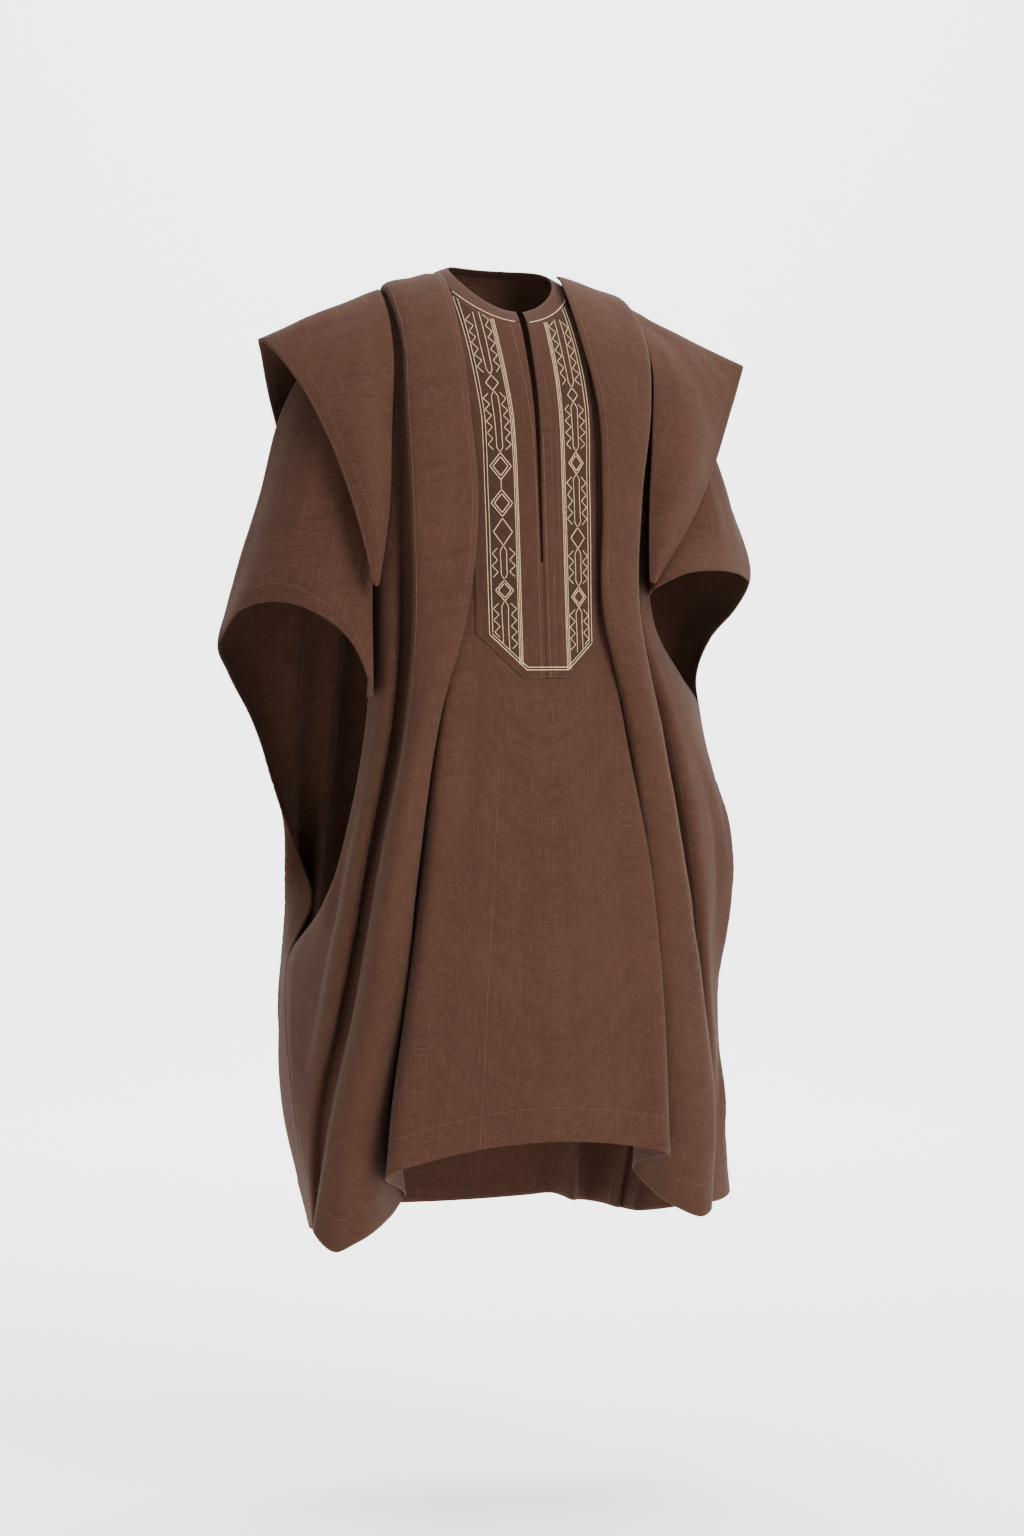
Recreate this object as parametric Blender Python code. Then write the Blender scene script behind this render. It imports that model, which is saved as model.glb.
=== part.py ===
# Grand boubou robe: a hollow worn gown, cut as front and back lengths, side
# lengths, hemmed shoulder wings, wide sleeves, a neck band and a chest panel.
# Tables are in millimetres; X is the wearer's left, -Y the front, Z up from
# the base of the neck. Everything is built in metres.
import math

import bpy
import numpy as np

clothWall = 2.0           # thickness of every cloth wall
seamGap = 0.46            # space left between two pieces at a seam
neckOuter = 83.0          # radius of the neck opening cut in the panels
neckInner = 66.0          # radius of the finished neck edge
slitX = 5.0               # the front slit stands a little to the left
slitTop = 9.0             # slit width at the neck
slitFoot = 3.0            # slit width where it closes
slitEnd = -360.0          # height where the slit closes
foldRound = 2.6           # half the thickness of a sharp fold
shoulderTilt = 0.05       # the left shoulder is carried lower

clothColour = (0.105, 0.047, 0.030)
bandColour = (0.080, 0.035, 0.023)
bibColour = (0.125, 0.062, 0.040)

# Heights at which every fold of the long pieces is measured.
heights = (-90, -160, -280, -420, -560, -740, -920, -1050)

# Folds of the front, wearer's right, from the centre outwards.
# name: shoulder (x, y, z), (x, y) at the eight heights, hem (x, y, z)
frontRight = {
    "panelEdge": ((-96, 0, -8), ((-102, -92), (-108, -124), (-106, -141), (-101, -158), (-124, -174), (-143, -186), (-170, -198), (-189, -207)), (-196, -210, -1112)),
    "valley": ((-108, 0, -12), ((-114, -86), (-121, -119), (-119, -137), (-121, -140), (-131, -128), (-146, -122), (-158, -110), (-164, -90)), (-148, -66, -1166)),
    "inner": ((-84, 0, 8), ((-83, -112), (-84, -146), (-78, -164), (-94, -173), (-136, -178), (-167, -182), (-192, -181), (-217, -172)), (-234, -158, -1206)),
    "ridge": ((-118, 0, 3), ((-118, -108), (-122, -144), (-118, -163), (-128, -173), (-154, -181), (-186, -187), (-214, -185), (-241, -176)), (-259, -156, -1217)),
    "edge": ((-157, 0, -12), ((-154, -88), (-160, -122), (-160, -145), (-160, -155), (-170, -157), (-204, -155), (-235, -149), (-263, -142)), (-281, -122, -1192)),
    "seam": ((-155, 0, -22), ((-149, -76), (-153, -109), (-153, -131), (-153, -140), (-164, -141), (-198, -137), (-229, -129), (-255, -122)), (-270, -104, -1190)),
    "shade": ((-162, 0, -28), ((-157, -62), (-158, -92), (-159, -110), (-161, -116), (-173, -112), (-208, -108), (-240, -103), (-260, -99)), (-263, -84, -1190)),
    "second": ((-172, 0, -28), ((-168, -62), (-167, -91), (-171, -112), (-175, -126), (-186, -129), (-222, -132), (-250, -124), (-274, -104)), (-270, -84, -1192)),
    "secondEdge": ((-180, 0, -33), ((-175, -57), (-174, -84), (-180, -102), (-187, -116), (-195, -120), (-230, -124), (-260, -111), (-282, -86)), (-270, -72, -1193)),
    "pocket": ((-185, 0, -37), ((-180, -51), (-179, -77), (-184, -92), (-191, -101), (-199, -103), (-236, -98), (-268, -78), (-286, -72)), (-265, -58, -1194)),
    "side": ((-187, 0, -40), ((-183, -47), (-183, -72), (-188, -85), (-194, -89), (-202, -89), (-238, -84), (-286, -6), (-288, -62)), (-262, -48, -1195)),
}
# Folds of the front, wearer's left.
frontLeft = {
    "panelEdge": ((96, 0, -14), ((100, -92), (108, -124), (102, -141), (91, -154), (107, -172), (139, -185), (153, -196), (153, -206)), (152, -210, -1100)),
    "valley": ((108, 0, -18), ((112, -86), (121, -119), (118, -137), (114, -138), (118, -130), (138, -122), (150, -112), (156, -96)), (159, -74, -1143)),
    "inner": ((76, 0, 8), ((76, -114), (84, -146), (86, -163), (84, -173), (120, -176), (146, -178), (162, -176), (174, -158)), (196, -120, -1182)),
    "ridge": ((118, 0, -4), ((122, -108), (126, -144), (116, -165), (112, -176), (142, -180), (172, -180), (196, -172), (216, -152)), (230, -130, -1196)),
    "edge": ((162, 0, -26), ((171, -84), (164, -118), (143, -146), (136, -156), (163, -157), (198, -153), (228, -141), (250, -122)), (252, -108, -1188)),
    "seam": ((158, 0, -36), ((163, -72), (156, -104), (136, -130), (129, -139), (156, -141), (192, -135), (223, -122), (246, -104)), (252, -92, -1187)),
    "shade": ((166, 0, -42), ((170, -58), (163, -86), (144, -104), (138, -110), (172, -110), (208, -104), (232, -96), (254, -88)), (262, -76, -1186)),
    "second": ((174, 0, -44), ((177, -57), (170, -84), (155, -103), (150, -113), (190, -124), (226, -120), (246, -104), (268, -74)), (278, -62, -1186)),
    "secondEdge": ((181, 0, -48), ((183, -52), (176, -78), (164, -96), (160, -104), (210, -108), (256, -96), (264, -80), (284, -52)), (296, -44, -1183)),
    "pocket": ((186, 0, -51), ((187, -47), (181, -72), (170, -89), (168, -95), (242, -64), (296, -50), (284, -44), (294, -30)), (306, -26, -1180)),
    "side": ((188, 0, -54), ((190, -43), (184, -66), (174, -83), (175, -88), (278, 12), (318, -2), (294, -6), (299, -6)), (312, -8, -1178)),
}
# Folds of the back, wearer's right; the left is its mirror, a little fuller.
backRight = {
    "panelEdge": ((-96, 0, -8), ((-98, 92), (-102, 118), (-100, 138), (-98, 150), (-102, 164), (-112, 180), (-122, 190), (-126, 197)), (-126, 199, -1208)),
    "valley": ((-108, 0, -12), ((-108, 86), (-114, 108), (-114, 127), (-114, 134), (-120, 140), (-132, 148), (-146, 154), (-150, 158)), (-146, 160, -1214)),
    "inner": ((-93, 0, 8), ((-111, 97), (-120, 121), (-122, 140), (-122, 150), (-130, 160), (-144, 170), (-160, 178), (-166, 184)), (-160, 186, -1217)),
    "ridge": ((-118, 0, 3), ((-128, 96), (-136, 122), (-138, 144), (-140, 156), (-148, 170), (-164, 184), (-180, 192), (-186, 196)), (-176, 197, -1220)),
    "edge": ((-157, 0, -12), ((-152, 80), (-160, 106), (-162, 130), (-166, 144), (-174, 156), (-192, 166), (-206, 172), (-212, 174)), (-193, 174, -1222)),
    "seam": ((-155, 0, -22), ((-154, 68), (-162, 94), (-166, 117), (-170, 130), (-179, 140), (-198, 146), (-212, 150), (-218, 152)), (-198, 152, -1223)),
    "shade": ((-162, 0, -28), ((-160, 60), (-168, 86), (-174, 108), (-180, 122), (-190, 130), (-208, 134), (-220, 138), (-225, 142)), (-202, 144, -1224)),
    "second": ((-172, 0, -28), ((-170, 58), (-178, 86), (-188, 110), (-196, 128), (-206, 142), (-224, 152), (-234, 156), (-236, 156)), (-207, 152, -1225)),
    "secondEdge": ((-180, 0, -33), ((-178, 54), (-188, 80), (-200, 104), (-212, 124), (-222, 138), (-232, 146), (-242, 142), (-244, 138)), (-212, 132, -1225)),
    "pocket": ((-186, 0, -38), ((-186, 48), (-197, 74), (-211, 98), (-226, 118), (-236, 130), (-240, 132), (-250, 122), (-250, 116)), (-217, 108, -1224)),
}
# Side length of each sleeve back: height, edge (x, y), side (x, y), back (x, y).
# Down to the mouth the edge is the top seam of the sleeve, then the open back
# hem of the mouth, then the side seam.
sleeveBackRight = {
    "top": ((-232, 0, -80), (-222, 6, -72), (-208, 8, -60)),
    -90: ((-240, 3), (-228, 22), (-208, 40)),
    -160: ((-283, 5), (-268, 38), (-234, 70)),
    -280: ((-316, 12), (-303, 56), (-262, 94)),
    -357: ((-340, 15), (-326, 66), (-282, 108)),
    -420: ((-357, 19), (-340, 74), (-296, 118)),
    -462: ((-367, 22), (-346, 82), (-300, 124)),
    -500: ((-345, 60), (-328, 98), (-290, 128)),
    -560: ((-306, 96), (-297, 114), (-276, 130)),
    -640: ((-274, 108), (-268, 118), (-254, 125)),
    -740: ((-246, 76), (-257, 90), (-250, 120)),
    -790: ((-244, 24), (-262, 58), (-252, 108)),
    -868: ((-280, 10), (-278, 46), (-258, 100)),
    -920: ((-286, -6), (-284, 40), (-261, 98)),
    -1050: ((-288, -62), (-287, 12), (-264, 86)),
    "hem": ((-262, -48, -1195), (-252, 8, -1208), (-232, 66, -1220)),
}
sleeveBackLeft = {
    "top": ((240, 0, -84), (230, 6, -78), (212, 8, -66)),
    -90: ((254, 1, -98), (240, 22), (214, 40)),
    -160: ((268, -5), (258, 34), (232, 66)),
    -280: ((306, -20), (298, 32), (262, 88)),
    -384: ((329, -34), (314, 34), (276, 104)),
    -420: ((321, 0), (308, 50), (276, 110)),
    -458: ((297, 28), (292, 66), (270, 116)),
    -506: ((277, 26), (284, 66), (266, 118)),
    -560: ((278, 12), (287, 54), (268, 116)),
    -640: ((294, 4), (300, 46), (278, 110)),
    -740: ((318, -2), (314, 40), (286, 110)),
    -840: ((306, -4), (304, 38), (280, 114)),
    -920: ((294, -6), (294, 38), (276, 116)),
    -1050: ((299, -6), (290, 40), (276, 116)),
    "hem": ((312, -8, -1178), (300, 40, -1198), (276, 112, -1218)),
}
# Sleeve fronts: one row for each height along the top seam of the sleeve.
# columns: inner seam, two across, outer, top seam; each (x, y, z)
sleeveFrontRight = (
    ((-187, -4, -50), (-196, -5, -56), (-208, -5, -63), (-220, -4, -72), (-232, 0, -80)),
    ((-190, -52, -98), (-206, -46, -100), (-220, -34, -100), (-233, -18, -96), (-240, 3, -90)),
    ((-193, -84, -165), (-214, -80, -166), (-244, -64, -168), (-270, -34, -166), (-283, 5, -160)),
    ((-198, -100, -280), (-231, -98, -278), (-272, -78, -276), (-304, -36, -276), (-316, 12, -280)),
    ((-204, -118, -400), (-242, -114, -372), (-288, -90, -356), (-326, -42, -354), (-340, 15, -357)),
    ((-207, -136, -478), (-242, -132, -426), (-298, -98, -392), (-343, -40, -395), (-357, 19, -420)),
    ((-209, -146, -522), (-238, -139, -456), (-299, -103, -413), (-350, -38, -419), (-367, 22, -462)),
)
sleeveFrontLeft = (
    ((196, -5, -61), (205, -5, -65), (216, -5, -71), (228, -4, -78), (240, 0, -84)),
    ((199, -52, -104), (212, -46, -106), (228, -34, -106), (244, -18, -102), (254, 1, -98)),
    ((190, -82, -160), (212, -78, -164), (238, -62, -166), (258, -36, -164), (268, -5, -160)),
    ((184, -108, -290), (210, -107, -284), (250, -94, -280), (288, -62, -279), (306, -20, -280)),
    ((172, -124, -346), (205, -125, -336), (250, -111, -330), (294, -72, -330), (318, -28, -333)),
    ((160, -145, -393), (200, -150, -374), (250, -124, -370), (298, -80, -374), (329, -34, -384)),
)
# Shoulder wings, from the front point over the shoulder to the back point.
# columns: inner edge, middle, hemmed free edge; each (x, y, z)
wingRight = (
    ((-199, -141, -388), (-203, -143, -391), (-207, -143, -388)),
    ((-184, -132, -300), (-204, -142, -303), (-226, -132, -304)),
    ((-175, -114, -190), (-216, -124, -205), (-259, -97, -194)),
    ((-170, -82, -95), (-228, -86, -122), (-289, -62, -126)),
    ((-169, -40, -42), (-240, -46, -74), (-307, -30, -94)),
    ((-172, 0, -18), (-246, -2, -46), (-318, 0, -79)),
    ((-172, 40, -36), (-240, 44, -72), (-308, 28, -98)),
    ((-178, 76, -90), (-230, 82, -120), (-293, 58, -140)),
    ((-188, 104, -180), (-222, 112, -196), (-270, 90, -200)),
    ((-204, 124, -280), (-224, 130, -288), (-248, 118, -288)),
    ((-222, 138, -372), (-226, 140, -376), (-230, 138, -372)),
)
wingLeft = (
    ((152, -150, -384), (157, -152, -387), (162, -150, -384)),
    ((153, -145, -346), (168, -153, -350), (183, -144, -353)),
    ((156, -136, -296), (180, -148, -308), (212, -130, -312)),
    ((166, -118, -200), (212, -128, -216), (262, -82, -238)),
    ((178, -82, -104), (236, -82, -138), (298, -44, -166)),
    ((179, -40, -58), (246, -42, -94), (318, -20, -128)),
    ((174, 0, -34), (252, -2, -68), (331, 0, -102)),
    ((176, 40, -50), (246, 44, -90), (318, 28, -122)),
    ((182, 76, -104), (236, 82, -136), (298, 58, -160)),
    ((192, 104, -190), (226, 112, -206), (272, 90, -212)),
    ((206, 124, -290), (228, 130, -298), (250, 118, -298)),
    ((224, 138, -380), (228, 140, -384), (232, 138, -380)),
)


def tangents(points, lengths):
    steps = np.diff(points, axis=0) / lengths[:, None]
    out = np.empty_like(points)
    out[0] = steps[0]
    out[-1] = steps[-1]
    before, after = lengths[:-1, None], lengths[1:, None]
    out[1:-1] = (steps[:-1] * after + steps[1:] * before) / (before + after)
    return out


def curve(points, at):
    # a smooth curve through the points; at counts along them, 0 to n - 1
    points = np.asarray(points, float)
    lengths = np.maximum(np.linalg.norm(np.diff(points, axis=0), axis=1), 1e-6)
    slope = tangents(points, lengths)
    at = np.asarray(at, float)
    k = np.clip(np.floor(at).astype(int), 0, len(points) - 2)
    f = (at - k)[:, None]
    span = lengths[k][:, None]
    a, b = points[k], points[k + 1]
    m, n = slope[k] * span, slope[k + 1] * span
    return ((2 * f ** 3 - 3 * f ** 2 + 1) * a + (f ** 3 - 2 * f ** 2 + f) * m
            + (3 * f ** 2 - 2 * f ** 3) * b + (f ** 3 - f ** 2) * n)


def atHeight(points, z):
    # place along a falling curve where it reaches the height z
    low, high = 0.0, len(points) - 1.0
    for step in range(40):
        middle = (low + high) / 2
        if curve(points, [middle])[0][2] > z:
            low = middle
        else:
            high = middle
    return (low + high) / 2


topRows = (0.0, 0.3, 0.62)
midRows = (-90, -125, -160, -220, -280, -384, -420, -462, -485, -508,
           -560, -640, -740, -790, -868, -920, -1050)
hemRows = (0.5, 1.0)
rowCount = len(topRows) + len(midRows) + len(hemRows)


def fold(points, ghost):
    # samples one fold line at every row, from the shoulder to the hem
    line = np.array([ghost] + list(points), float)
    first = next(k for k in range(2, len(line)) if abs(line[k][2] + 90) < 9)
    last = len(line) - 2
    rows = [1 + r * (first - 1) for r in topRows]
    rows += [first] + [atHeight(line, z) for z in midRows[1:-1]] + [last]
    rows += [last + r for r in hemRows]
    return curve(line, rows)


def tableFold(row, partner):
    # partner is the same fold beyond the shoulder, or the fold itself
    top, mids, hem = row
    points = [top] + [(x, y, z) for (x, y), z in zip(mids, heights)] + [hem]
    over = partner[1][0] if partner is not row else (mids[0][0], -mids[0][1])
    return fold(points, (*over, heights[0]))


def neckPoint(radius, angle):
    # angle 0 is the front, 90 the wearer's left, 180 the back
    a = math.radians(angle)
    x = radius * math.sin(a)
    y = -radius * math.cos(a)
    dip = (0.5 + 0.5 * math.cos(a)) ** 2.4
    z = 18 - 62 * dip - (radius - neckInner) * (0.35 + 0.4 * dip)
    return np.array((x, y, z - shoulderTilt * x))


# Columns across the flat centre of a panel, out from its middle: name, place
# round the neck in degrees, distance from the middle down to the waist, share
# of the panel at the hem
columns = ((14, 17, 0.12), (28, 33, 0.26), (46, 55.5, 0.42), (66, 78, 0.60), (88, 90, 0.80))


def edgeRow(row):
    top, mids, hem = row
    return [(x, y, z) for (x, y), z in zip(mids, heights)] + [hem]


def panelFolds(left, right, front):
    # folds across the flat centre of a panel, between its two edge folds
    centre = slitX if front else 0
    plan = [(-a, -d, -s, 0) for a, d, s in reversed(columns)]
    plan += [(0, 0, 0, -1), (0, 0, 0, 1)] if front else [(0, 0, 0, 0)]
    plan += [(a, d, s, 0) for a, d, s in columns]
    bulge = (14, 14, 15, 14, 12, 10, 9, 8, 7)
    folds = []
    for angle, out, share, slit in plan:
        top = neckPoint(neckOuter + seamGap, angle if front else 180 - angle)
        top[0] += slit and slitX + slit * slitTop / 2
        line = []
        for k in range(len(heights) + 1):
            a, b = left[k], right[k]
            edge = b[0] - centre if share > 0 else centre - a[0]
            out = math.copysign(min(abs(out), edge - 3), out)
            low = min(max((k - 3) / 2, 0), 1)
            x = centre + out * (1 - low) + share * edge * low
            w = (x - a[0]) / (b[0] - a[0])
            round = bulge[k] * (1 - (2 * w - 1) ** 2)
            y = a[1] + (b[1] - a[1]) * w + (-round if front else round)
            z = a[2] + (b[2] - a[2]) * w
            if k == len(heights):
                z += (24 if front else -4) * (1 - (2 * w - 1) ** 2)
            line.append([x, y, z])
        if slit:
            for point in line:
                fall = min(max((point[2] + 60) / (slitEnd + 60), 0), 1)
                point[0] = slitX + slit * (slitTop + (slitFoot - slitTop) * fall) / 2
        folds.append(fold([top] + line, top + (0, 6 if front else -6, 5)))
    return folds


def surface(folds, counts, start=0.0, stop=None):
    # grid across the folds: counts gives the steps in each gap between folds
    folds = np.array(folds)
    stop = len(folds) - 1 if stop is None else stop
    at = [start]
    for k, n in enumerate(counts):
        for i in range(1, n + 1):
            v = k + i / n
            if start + 1e-6 < v < stop - 1e-6:
                at.append(v)
    at.append(stop)
    return np.array([curve(folds[:, r], at) for r in range(folds.shape[1])])


def drawIn(grid, sides, gap=seamGap / 2):
    # moves an outer line of the grid in from its seam by half the gap
    grid = grid.copy()
    for side in sides:
        line, near = {"top": (grid[0], grid[1]), "first": (grid[:, 0], grid[:, 1]),
                      "last": (grid[:, -1], grid[:, -2])}[side]
        step = near - line
        line += step / np.linalg.norm(step, axis=1)[:, None] * gap
    return grid


def unit(vectors):
    return vectors / np.maximum(np.linalg.norm(vectors, axis=-1, keepdims=True), 1e-9)


def directions(grid):
    # direction of every row of points, halfway between its two steps
    steps = unit(np.diff(grid, axis=1))
    return unit(np.concatenate((steps[:, :1], steps[:, :-1] + steps[:, 1:], steps[:, -1:]), axis=1))


def gridNormals(grid):
    down = directions(grid.transpose(1, 0, 2)).transpose(1, 0, 2)
    return unit(np.cross(directions(grid), down))


def doubled(folds):
    # the cloth turns back on itself at these two folds, so each gets two lines
    out = list(folds)
    for k in (frontOut.index("inner"), frontOut.index("valley")):
        step = unit(unit(folds[k + 1] - folds[k]) - unit(folds[k - 1] - folds[k])) * foldRound
        out[k:k + 1] = [folds[k] - step, folds[k] + step]
    return out


def material(name, colour, rough):
    found = bpy.data.materials.get(name)
    if found:
        return found
    found = bpy.data.materials.new(name)
    found.use_nodes = True
    shader = found.node_tree.nodes["Principled BSDF"]
    shader.inputs["Base Color"].default_value = (*colour, 1)
    shader.inputs["Roughness"].default_value = rough
    shader.inputs["Metallic"].default_value = 0.0
    return found


def shell(name, outer, inner, cloth, skip=(), other=(), cut=()):
    # closes two matching grids into one wall. skip leaves cells open, other
    # splits a cell along its second diagonal, cut keeps a cell's upper half
    rows, cols = outer.shape[:2]
    points, faces, number, flat = [], [], {}, []

    def vertex(layer, key):
        if (layer, key) not in number:
            number[layer, key] = len(points)
            points.append((inner if layer else outer)[key] / 1000)
        return number[layer, key]

    for r in range(rows - 1):
        for c in range(cols - 1):
            a, b, d, e = (r, c), (r, c + 1), (r + 1, c), (r + 1, c + 1)
            if (r, c) in skip:
                continue
            low = [(a, d, e)] if (r, c) in other else [(b, d, e)]
            high = [(a, e, b)] if (r, c) in other else [(a, d, b)]
            flat += high if (r, c) in cut else low + high
    edges = set()
    for t in flat:
        edges.update(((t[0], t[1]), (t[1], t[2]), (t[2], t[0])))
        faces.append([vertex(0, key) for key in t])
        faces.append([vertex(1, key) for key in reversed(t)])
    for p, q in sorted(edges):
        if (q, p) not in edges:
            faces.append([vertex(0, q), vertex(0, p), vertex(1, p)])
            faces.append([vertex(0, q), vertex(1, p), vertex(1, q)])
    mesh = bpy.data.meshes.new(name)
    mesh.from_pydata([tuple(p) for p in points], [], faces)
    volume = 0.0
    for face in mesh.polygons:
        a, b, c = (mesh.vertices[i].co for i in face.vertices)
        volume += a.dot(b.cross(c))
    if volume < 0:
        mesh.flip_normals()
    mesh.shade_smooth()
    piece = bpy.data.objects.new(name, mesh)
    mesh.materials.append(material(*cloth))
    bpy.context.scene.collection.objects.link(piece)


def cloth(name, grid, normal, colour, skip=(), other=()):
    shell(name, grid + normal * clothWall / 2, grid - normal * clothWall / 2, colour, skip, other)


for old in list(bpy.data.objects):
    bpy.data.objects.remove(old, do_unlink=True)

brown = ("brown cloth", clothColour, 0.9)
dark = ("dark band cloth", bandColour, 0.9)
panelCloth = ("chest panel cloth", bibColour, 0.85)


def mirrored(table, fuller):
    out = {}
    for name, (top, mids, hem) in table.items():
        drop = 7 if top[0] > -130 else 14
        out[name] = ((-top[0], top[1], top[2] - drop), tuple((-x * fuller, y) for x, y in mids),
                     (-hem[0] * fuller, hem[1], hem[2] + 4))
    return out


def sleeveBackFolds(table):
    # the edge, side and back folds of a sleeve back, at every row
    folds = []
    for k in range(3):
        line = [(*table[z][k], z) if z not in ("top", "hem") else table[z][k] for z in table]
        line = [p if len(p) == 3 else (p[0], p[1], z) for p, z in zip([tuple(q[:3]) for q in line], table)]
        folds.append(fold(line, (line[1][0], line[1][1] - 90 if k else -line[1][1], line[1][2])))
    return folds


backLeft = mirrored(backRight, 1.03)
centreOut = ("panelEdge", "valley", "inner", "ridge", "edge", "seam")
frontOut = centreOut + ("shade", "second", "secondEdge", "pocket", "side")
backOut = centreOut + ("shade", "second", "secondEdge", "pocket")

# sleeve backs first: their outer edge is also the side seam of the front
sleeveBack = {"right": sleeveBackFolds(sleeveBackRight), "left": sleeveBackFolds(sleeveBackLeft)}
seamStarts = {"right": len(topRows) + midRows.index(-868), "left": len(topRows) + midRows.index(-560)}


def frontSide(table, partner, which):
    folds = [tableFold(table[key], partner.get(key, table[key])) for key in frontOut]
    folds[-1][seamStarts[which]:] = sleeveBack[which][0][seamStarts[which]:]
    return doubled(folds)


def backSide(table, partner, which):
    folds = [tableFold(table[key], partner[key]) for key in backOut]
    return doubled(folds) + sleeveBack[which][::-1]


def steppedGrid(folds, steps):
    # beyond the neck the walls end square to the shoulder seam
    grid = surface(folds, steps)
    normal = gridNormals(grid)
    normal[0, np.abs(grid[0, :, 1]) < 1e-6, 1] = 0
    return grid, unit(normal)


# the whole front and the whole back are each one surface, cut at the seams
rightFolds, leftFolds = frontSide(frontRight, backRight, "right"), frontSide(frontLeft, backLeft, "left")
middle = panelFolds(edgeRow(frontRight["panelEdge"]), edgeRow(frontLeft["panelEdge"]), True)
sideSteps, centreSteps = (1, 1, 1, 1, 2), (1, 1, 1, 1, 1, 1, 2, 1)
steps = sideSteps[::-1] + centreSteps[::-1] + (1,) * (len(middle) + 1) + centreSteps + sideSteps
front, frontNormal = steppedGrid(rightFolds[::-1] + middle + leftFolds, steps)
frontNormal = -frontNormal
seamRight, seamLeft = sum(sideSteps), front.shape[1] - 1 - sum(sideSteps)
slitColumn = seamRight + sum(centreSteps) + 1 + len(columns)

rightFolds, leftFolds = backSide(backRight, frontRight, "right"), backSide(backLeft, frontLeft, "left")
middle = panelFolds(edgeRow(backRight["panelEdge"]), edgeRow(backLeft["panelEdge"]), False)
sleeveSteps, backSteps, middleSteps = (2, 1, 1), (1, 1, 1, 1), (1, 1, 1, 1, 1, 1, 1)
steps = sleeveSteps + backSteps + middleSteps + (1,) * (len(middle) + 1) + middleSteps + backSteps + sleeveSteps[::-1]
back, backNormal = steppedGrid(rightFolds[::-1] + middle + leftFolds, steps)

# sleeve fronts, between the side length and the top seam of the sleeve
sleeves = {}
for which, table, edge, side in (("right", sleeveFrontRight, 0, 0), ("left", sleeveFrontLeft, -1, -1)):
    sign = -1 if which == "right" else 1
    rows = np.array(table, float)
    ridge, inner = back[:, edge], front[:, side]
    stop = len(topRows) + midRows.index(round(rows[-1, -1, 2]))
    at = np.interp(-ridge[:stop + 1, 2], -rows[:, -1, 2], range(len(rows)))
    folds = [curve(rows[:, c], at) for c in range(rows.shape[1])]
    folds[-1] = ridge[:stop + 1].copy()
    seam = []
    for k, point in enumerate(folds[0]):
        z = point[2] - 8 * k / stop
        seam.append(curve(inner, [np.interp(-z, -inner[:, 2], range(len(inner)))])[0] + (sign * 3.4, 0, 0))
    grid = surface([np.array(seam)] + folds, (1, 1, 1, 1, 1))
    normal = gridNormals(grid) * sign
    sleeves[which] = (grid, normal)

# one direction for the wall on both sides of each top seam and side seam
for which, edge, side in (("right", 0, 0), ("left", -1, -1)):
    grid, normal = sleeves[which]
    count = len(grid)
    if np.sum(normal[:, -1] * backNormal[:count, edge]) < 0:
        normal *= -1
    shared = unit(normal[:, -1] + backNormal[:count, edge])
    shared[0, 1] = 0
    normal[:, -1] = shared
    backNormal[:count, edge] = shared
    start = seamStarts[which]
    shared = unit(frontNormal[start:, side] + backNormal[start:, edge])
    frontNormal[start:, side] = shared
    backNormal[start:, edge] = shared

# neck band: its outer edge follows the tops of the panels' own folds
turns = [a for a, d, share in columns]
turns += [180 - a for a in reversed(turns)]
turns = [0] + turns + [180] + [360 - a for a in reversed(turns)] + [360]
band = []
for radius in (neckInner, (neckInner + neckOuter) / 2, neckOuter):
    ring = [neckPoint(radius, a) for a in turns]
    ring[0][0] += slitX + slitTop / 2
    ring[-1][0] += slitX - slitTop / 2
    band.append(ring)
band = np.array(band)
bandNormal = gridNormals(band)
bandNormal *= 1 if bandNormal[1, 8, 2] > 0 else -1
count = len(columns)
backMiddle = (back.shape[1] - 1) // 2
meets = [(frontNormal, slitColumn + 1 + k, k) for k in range(count + 1)]
meets += [(frontNormal, slitColumn - k, len(turns) - 1 - k) for k in range(count + 1)]
meets += [(backNormal, backMiddle + k, 2 * count + 1 - k) for k in range(-count, count + 1)]
for normals, column, k in meets:
    shared = unit(normals[0, column] + bandNormal[2, k])
    normals[0, column] = bandNormal[2, k] = shared
cloth("neck_band", band, bandNormal, dark)

slitRows = len(topRows) + sum(z > slitEnd for z in midRows)
slitCells = {(r, slitColumn - seamRight) for r in range(slitRows)}
bottom = len(topRows) + midRows.index(-508)
firstCol, lastCol = slitColumn - 4, slitColumn + 5
corners = {(bottom - 2, firstCol), (bottom - 1, firstCol + 1)}
corners = {(r, c - seamRight) for r, c in corners}


def strip(name, grid, normal, start, stop, ends, skip=(), other=()):
    cloth(name, drawIn(grid[:, start:stop + 1], ends), normal[:, start:stop + 1], brown, skip, other)


everySeam = ("top", "first", "last")
strip("centre_front", front, frontNormal, seamRight, seamLeft, everySeam, slitCells, corners)
strip("side_front_right", front, frontNormal, 0, seamRight, everySeam)
strip("side_front_left", front, frontNormal, seamLeft, front.shape[1] - 1, everySeam)
sleeveCut = sum(sleeveSteps)
sideCut = sleeveCut + sum(backSteps)
final = back.shape[1] - 1
strip("centre_back", back, backNormal, sideCut, final - sideCut, everySeam)
strip("side_back_right", back, backNormal, sleeveCut, sideCut, everySeam)
strip("side_back_left", back, backNormal, final - sideCut, final - sleeveCut, everySeam)
strip("sleeve_back_right", back, backNormal, 0, sleeveCut, everySeam)
strip("sleeve_back_left", back, backNormal, final - sleeveCut, final, everySeam)
for which in sleeves:
    grid, normal = sleeves[which]
    cloth("sleeve_front_" + which, drawIn(drawIn(grid, ("last",), seamGap), ("top",), 1.5), normal, brown)

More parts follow.
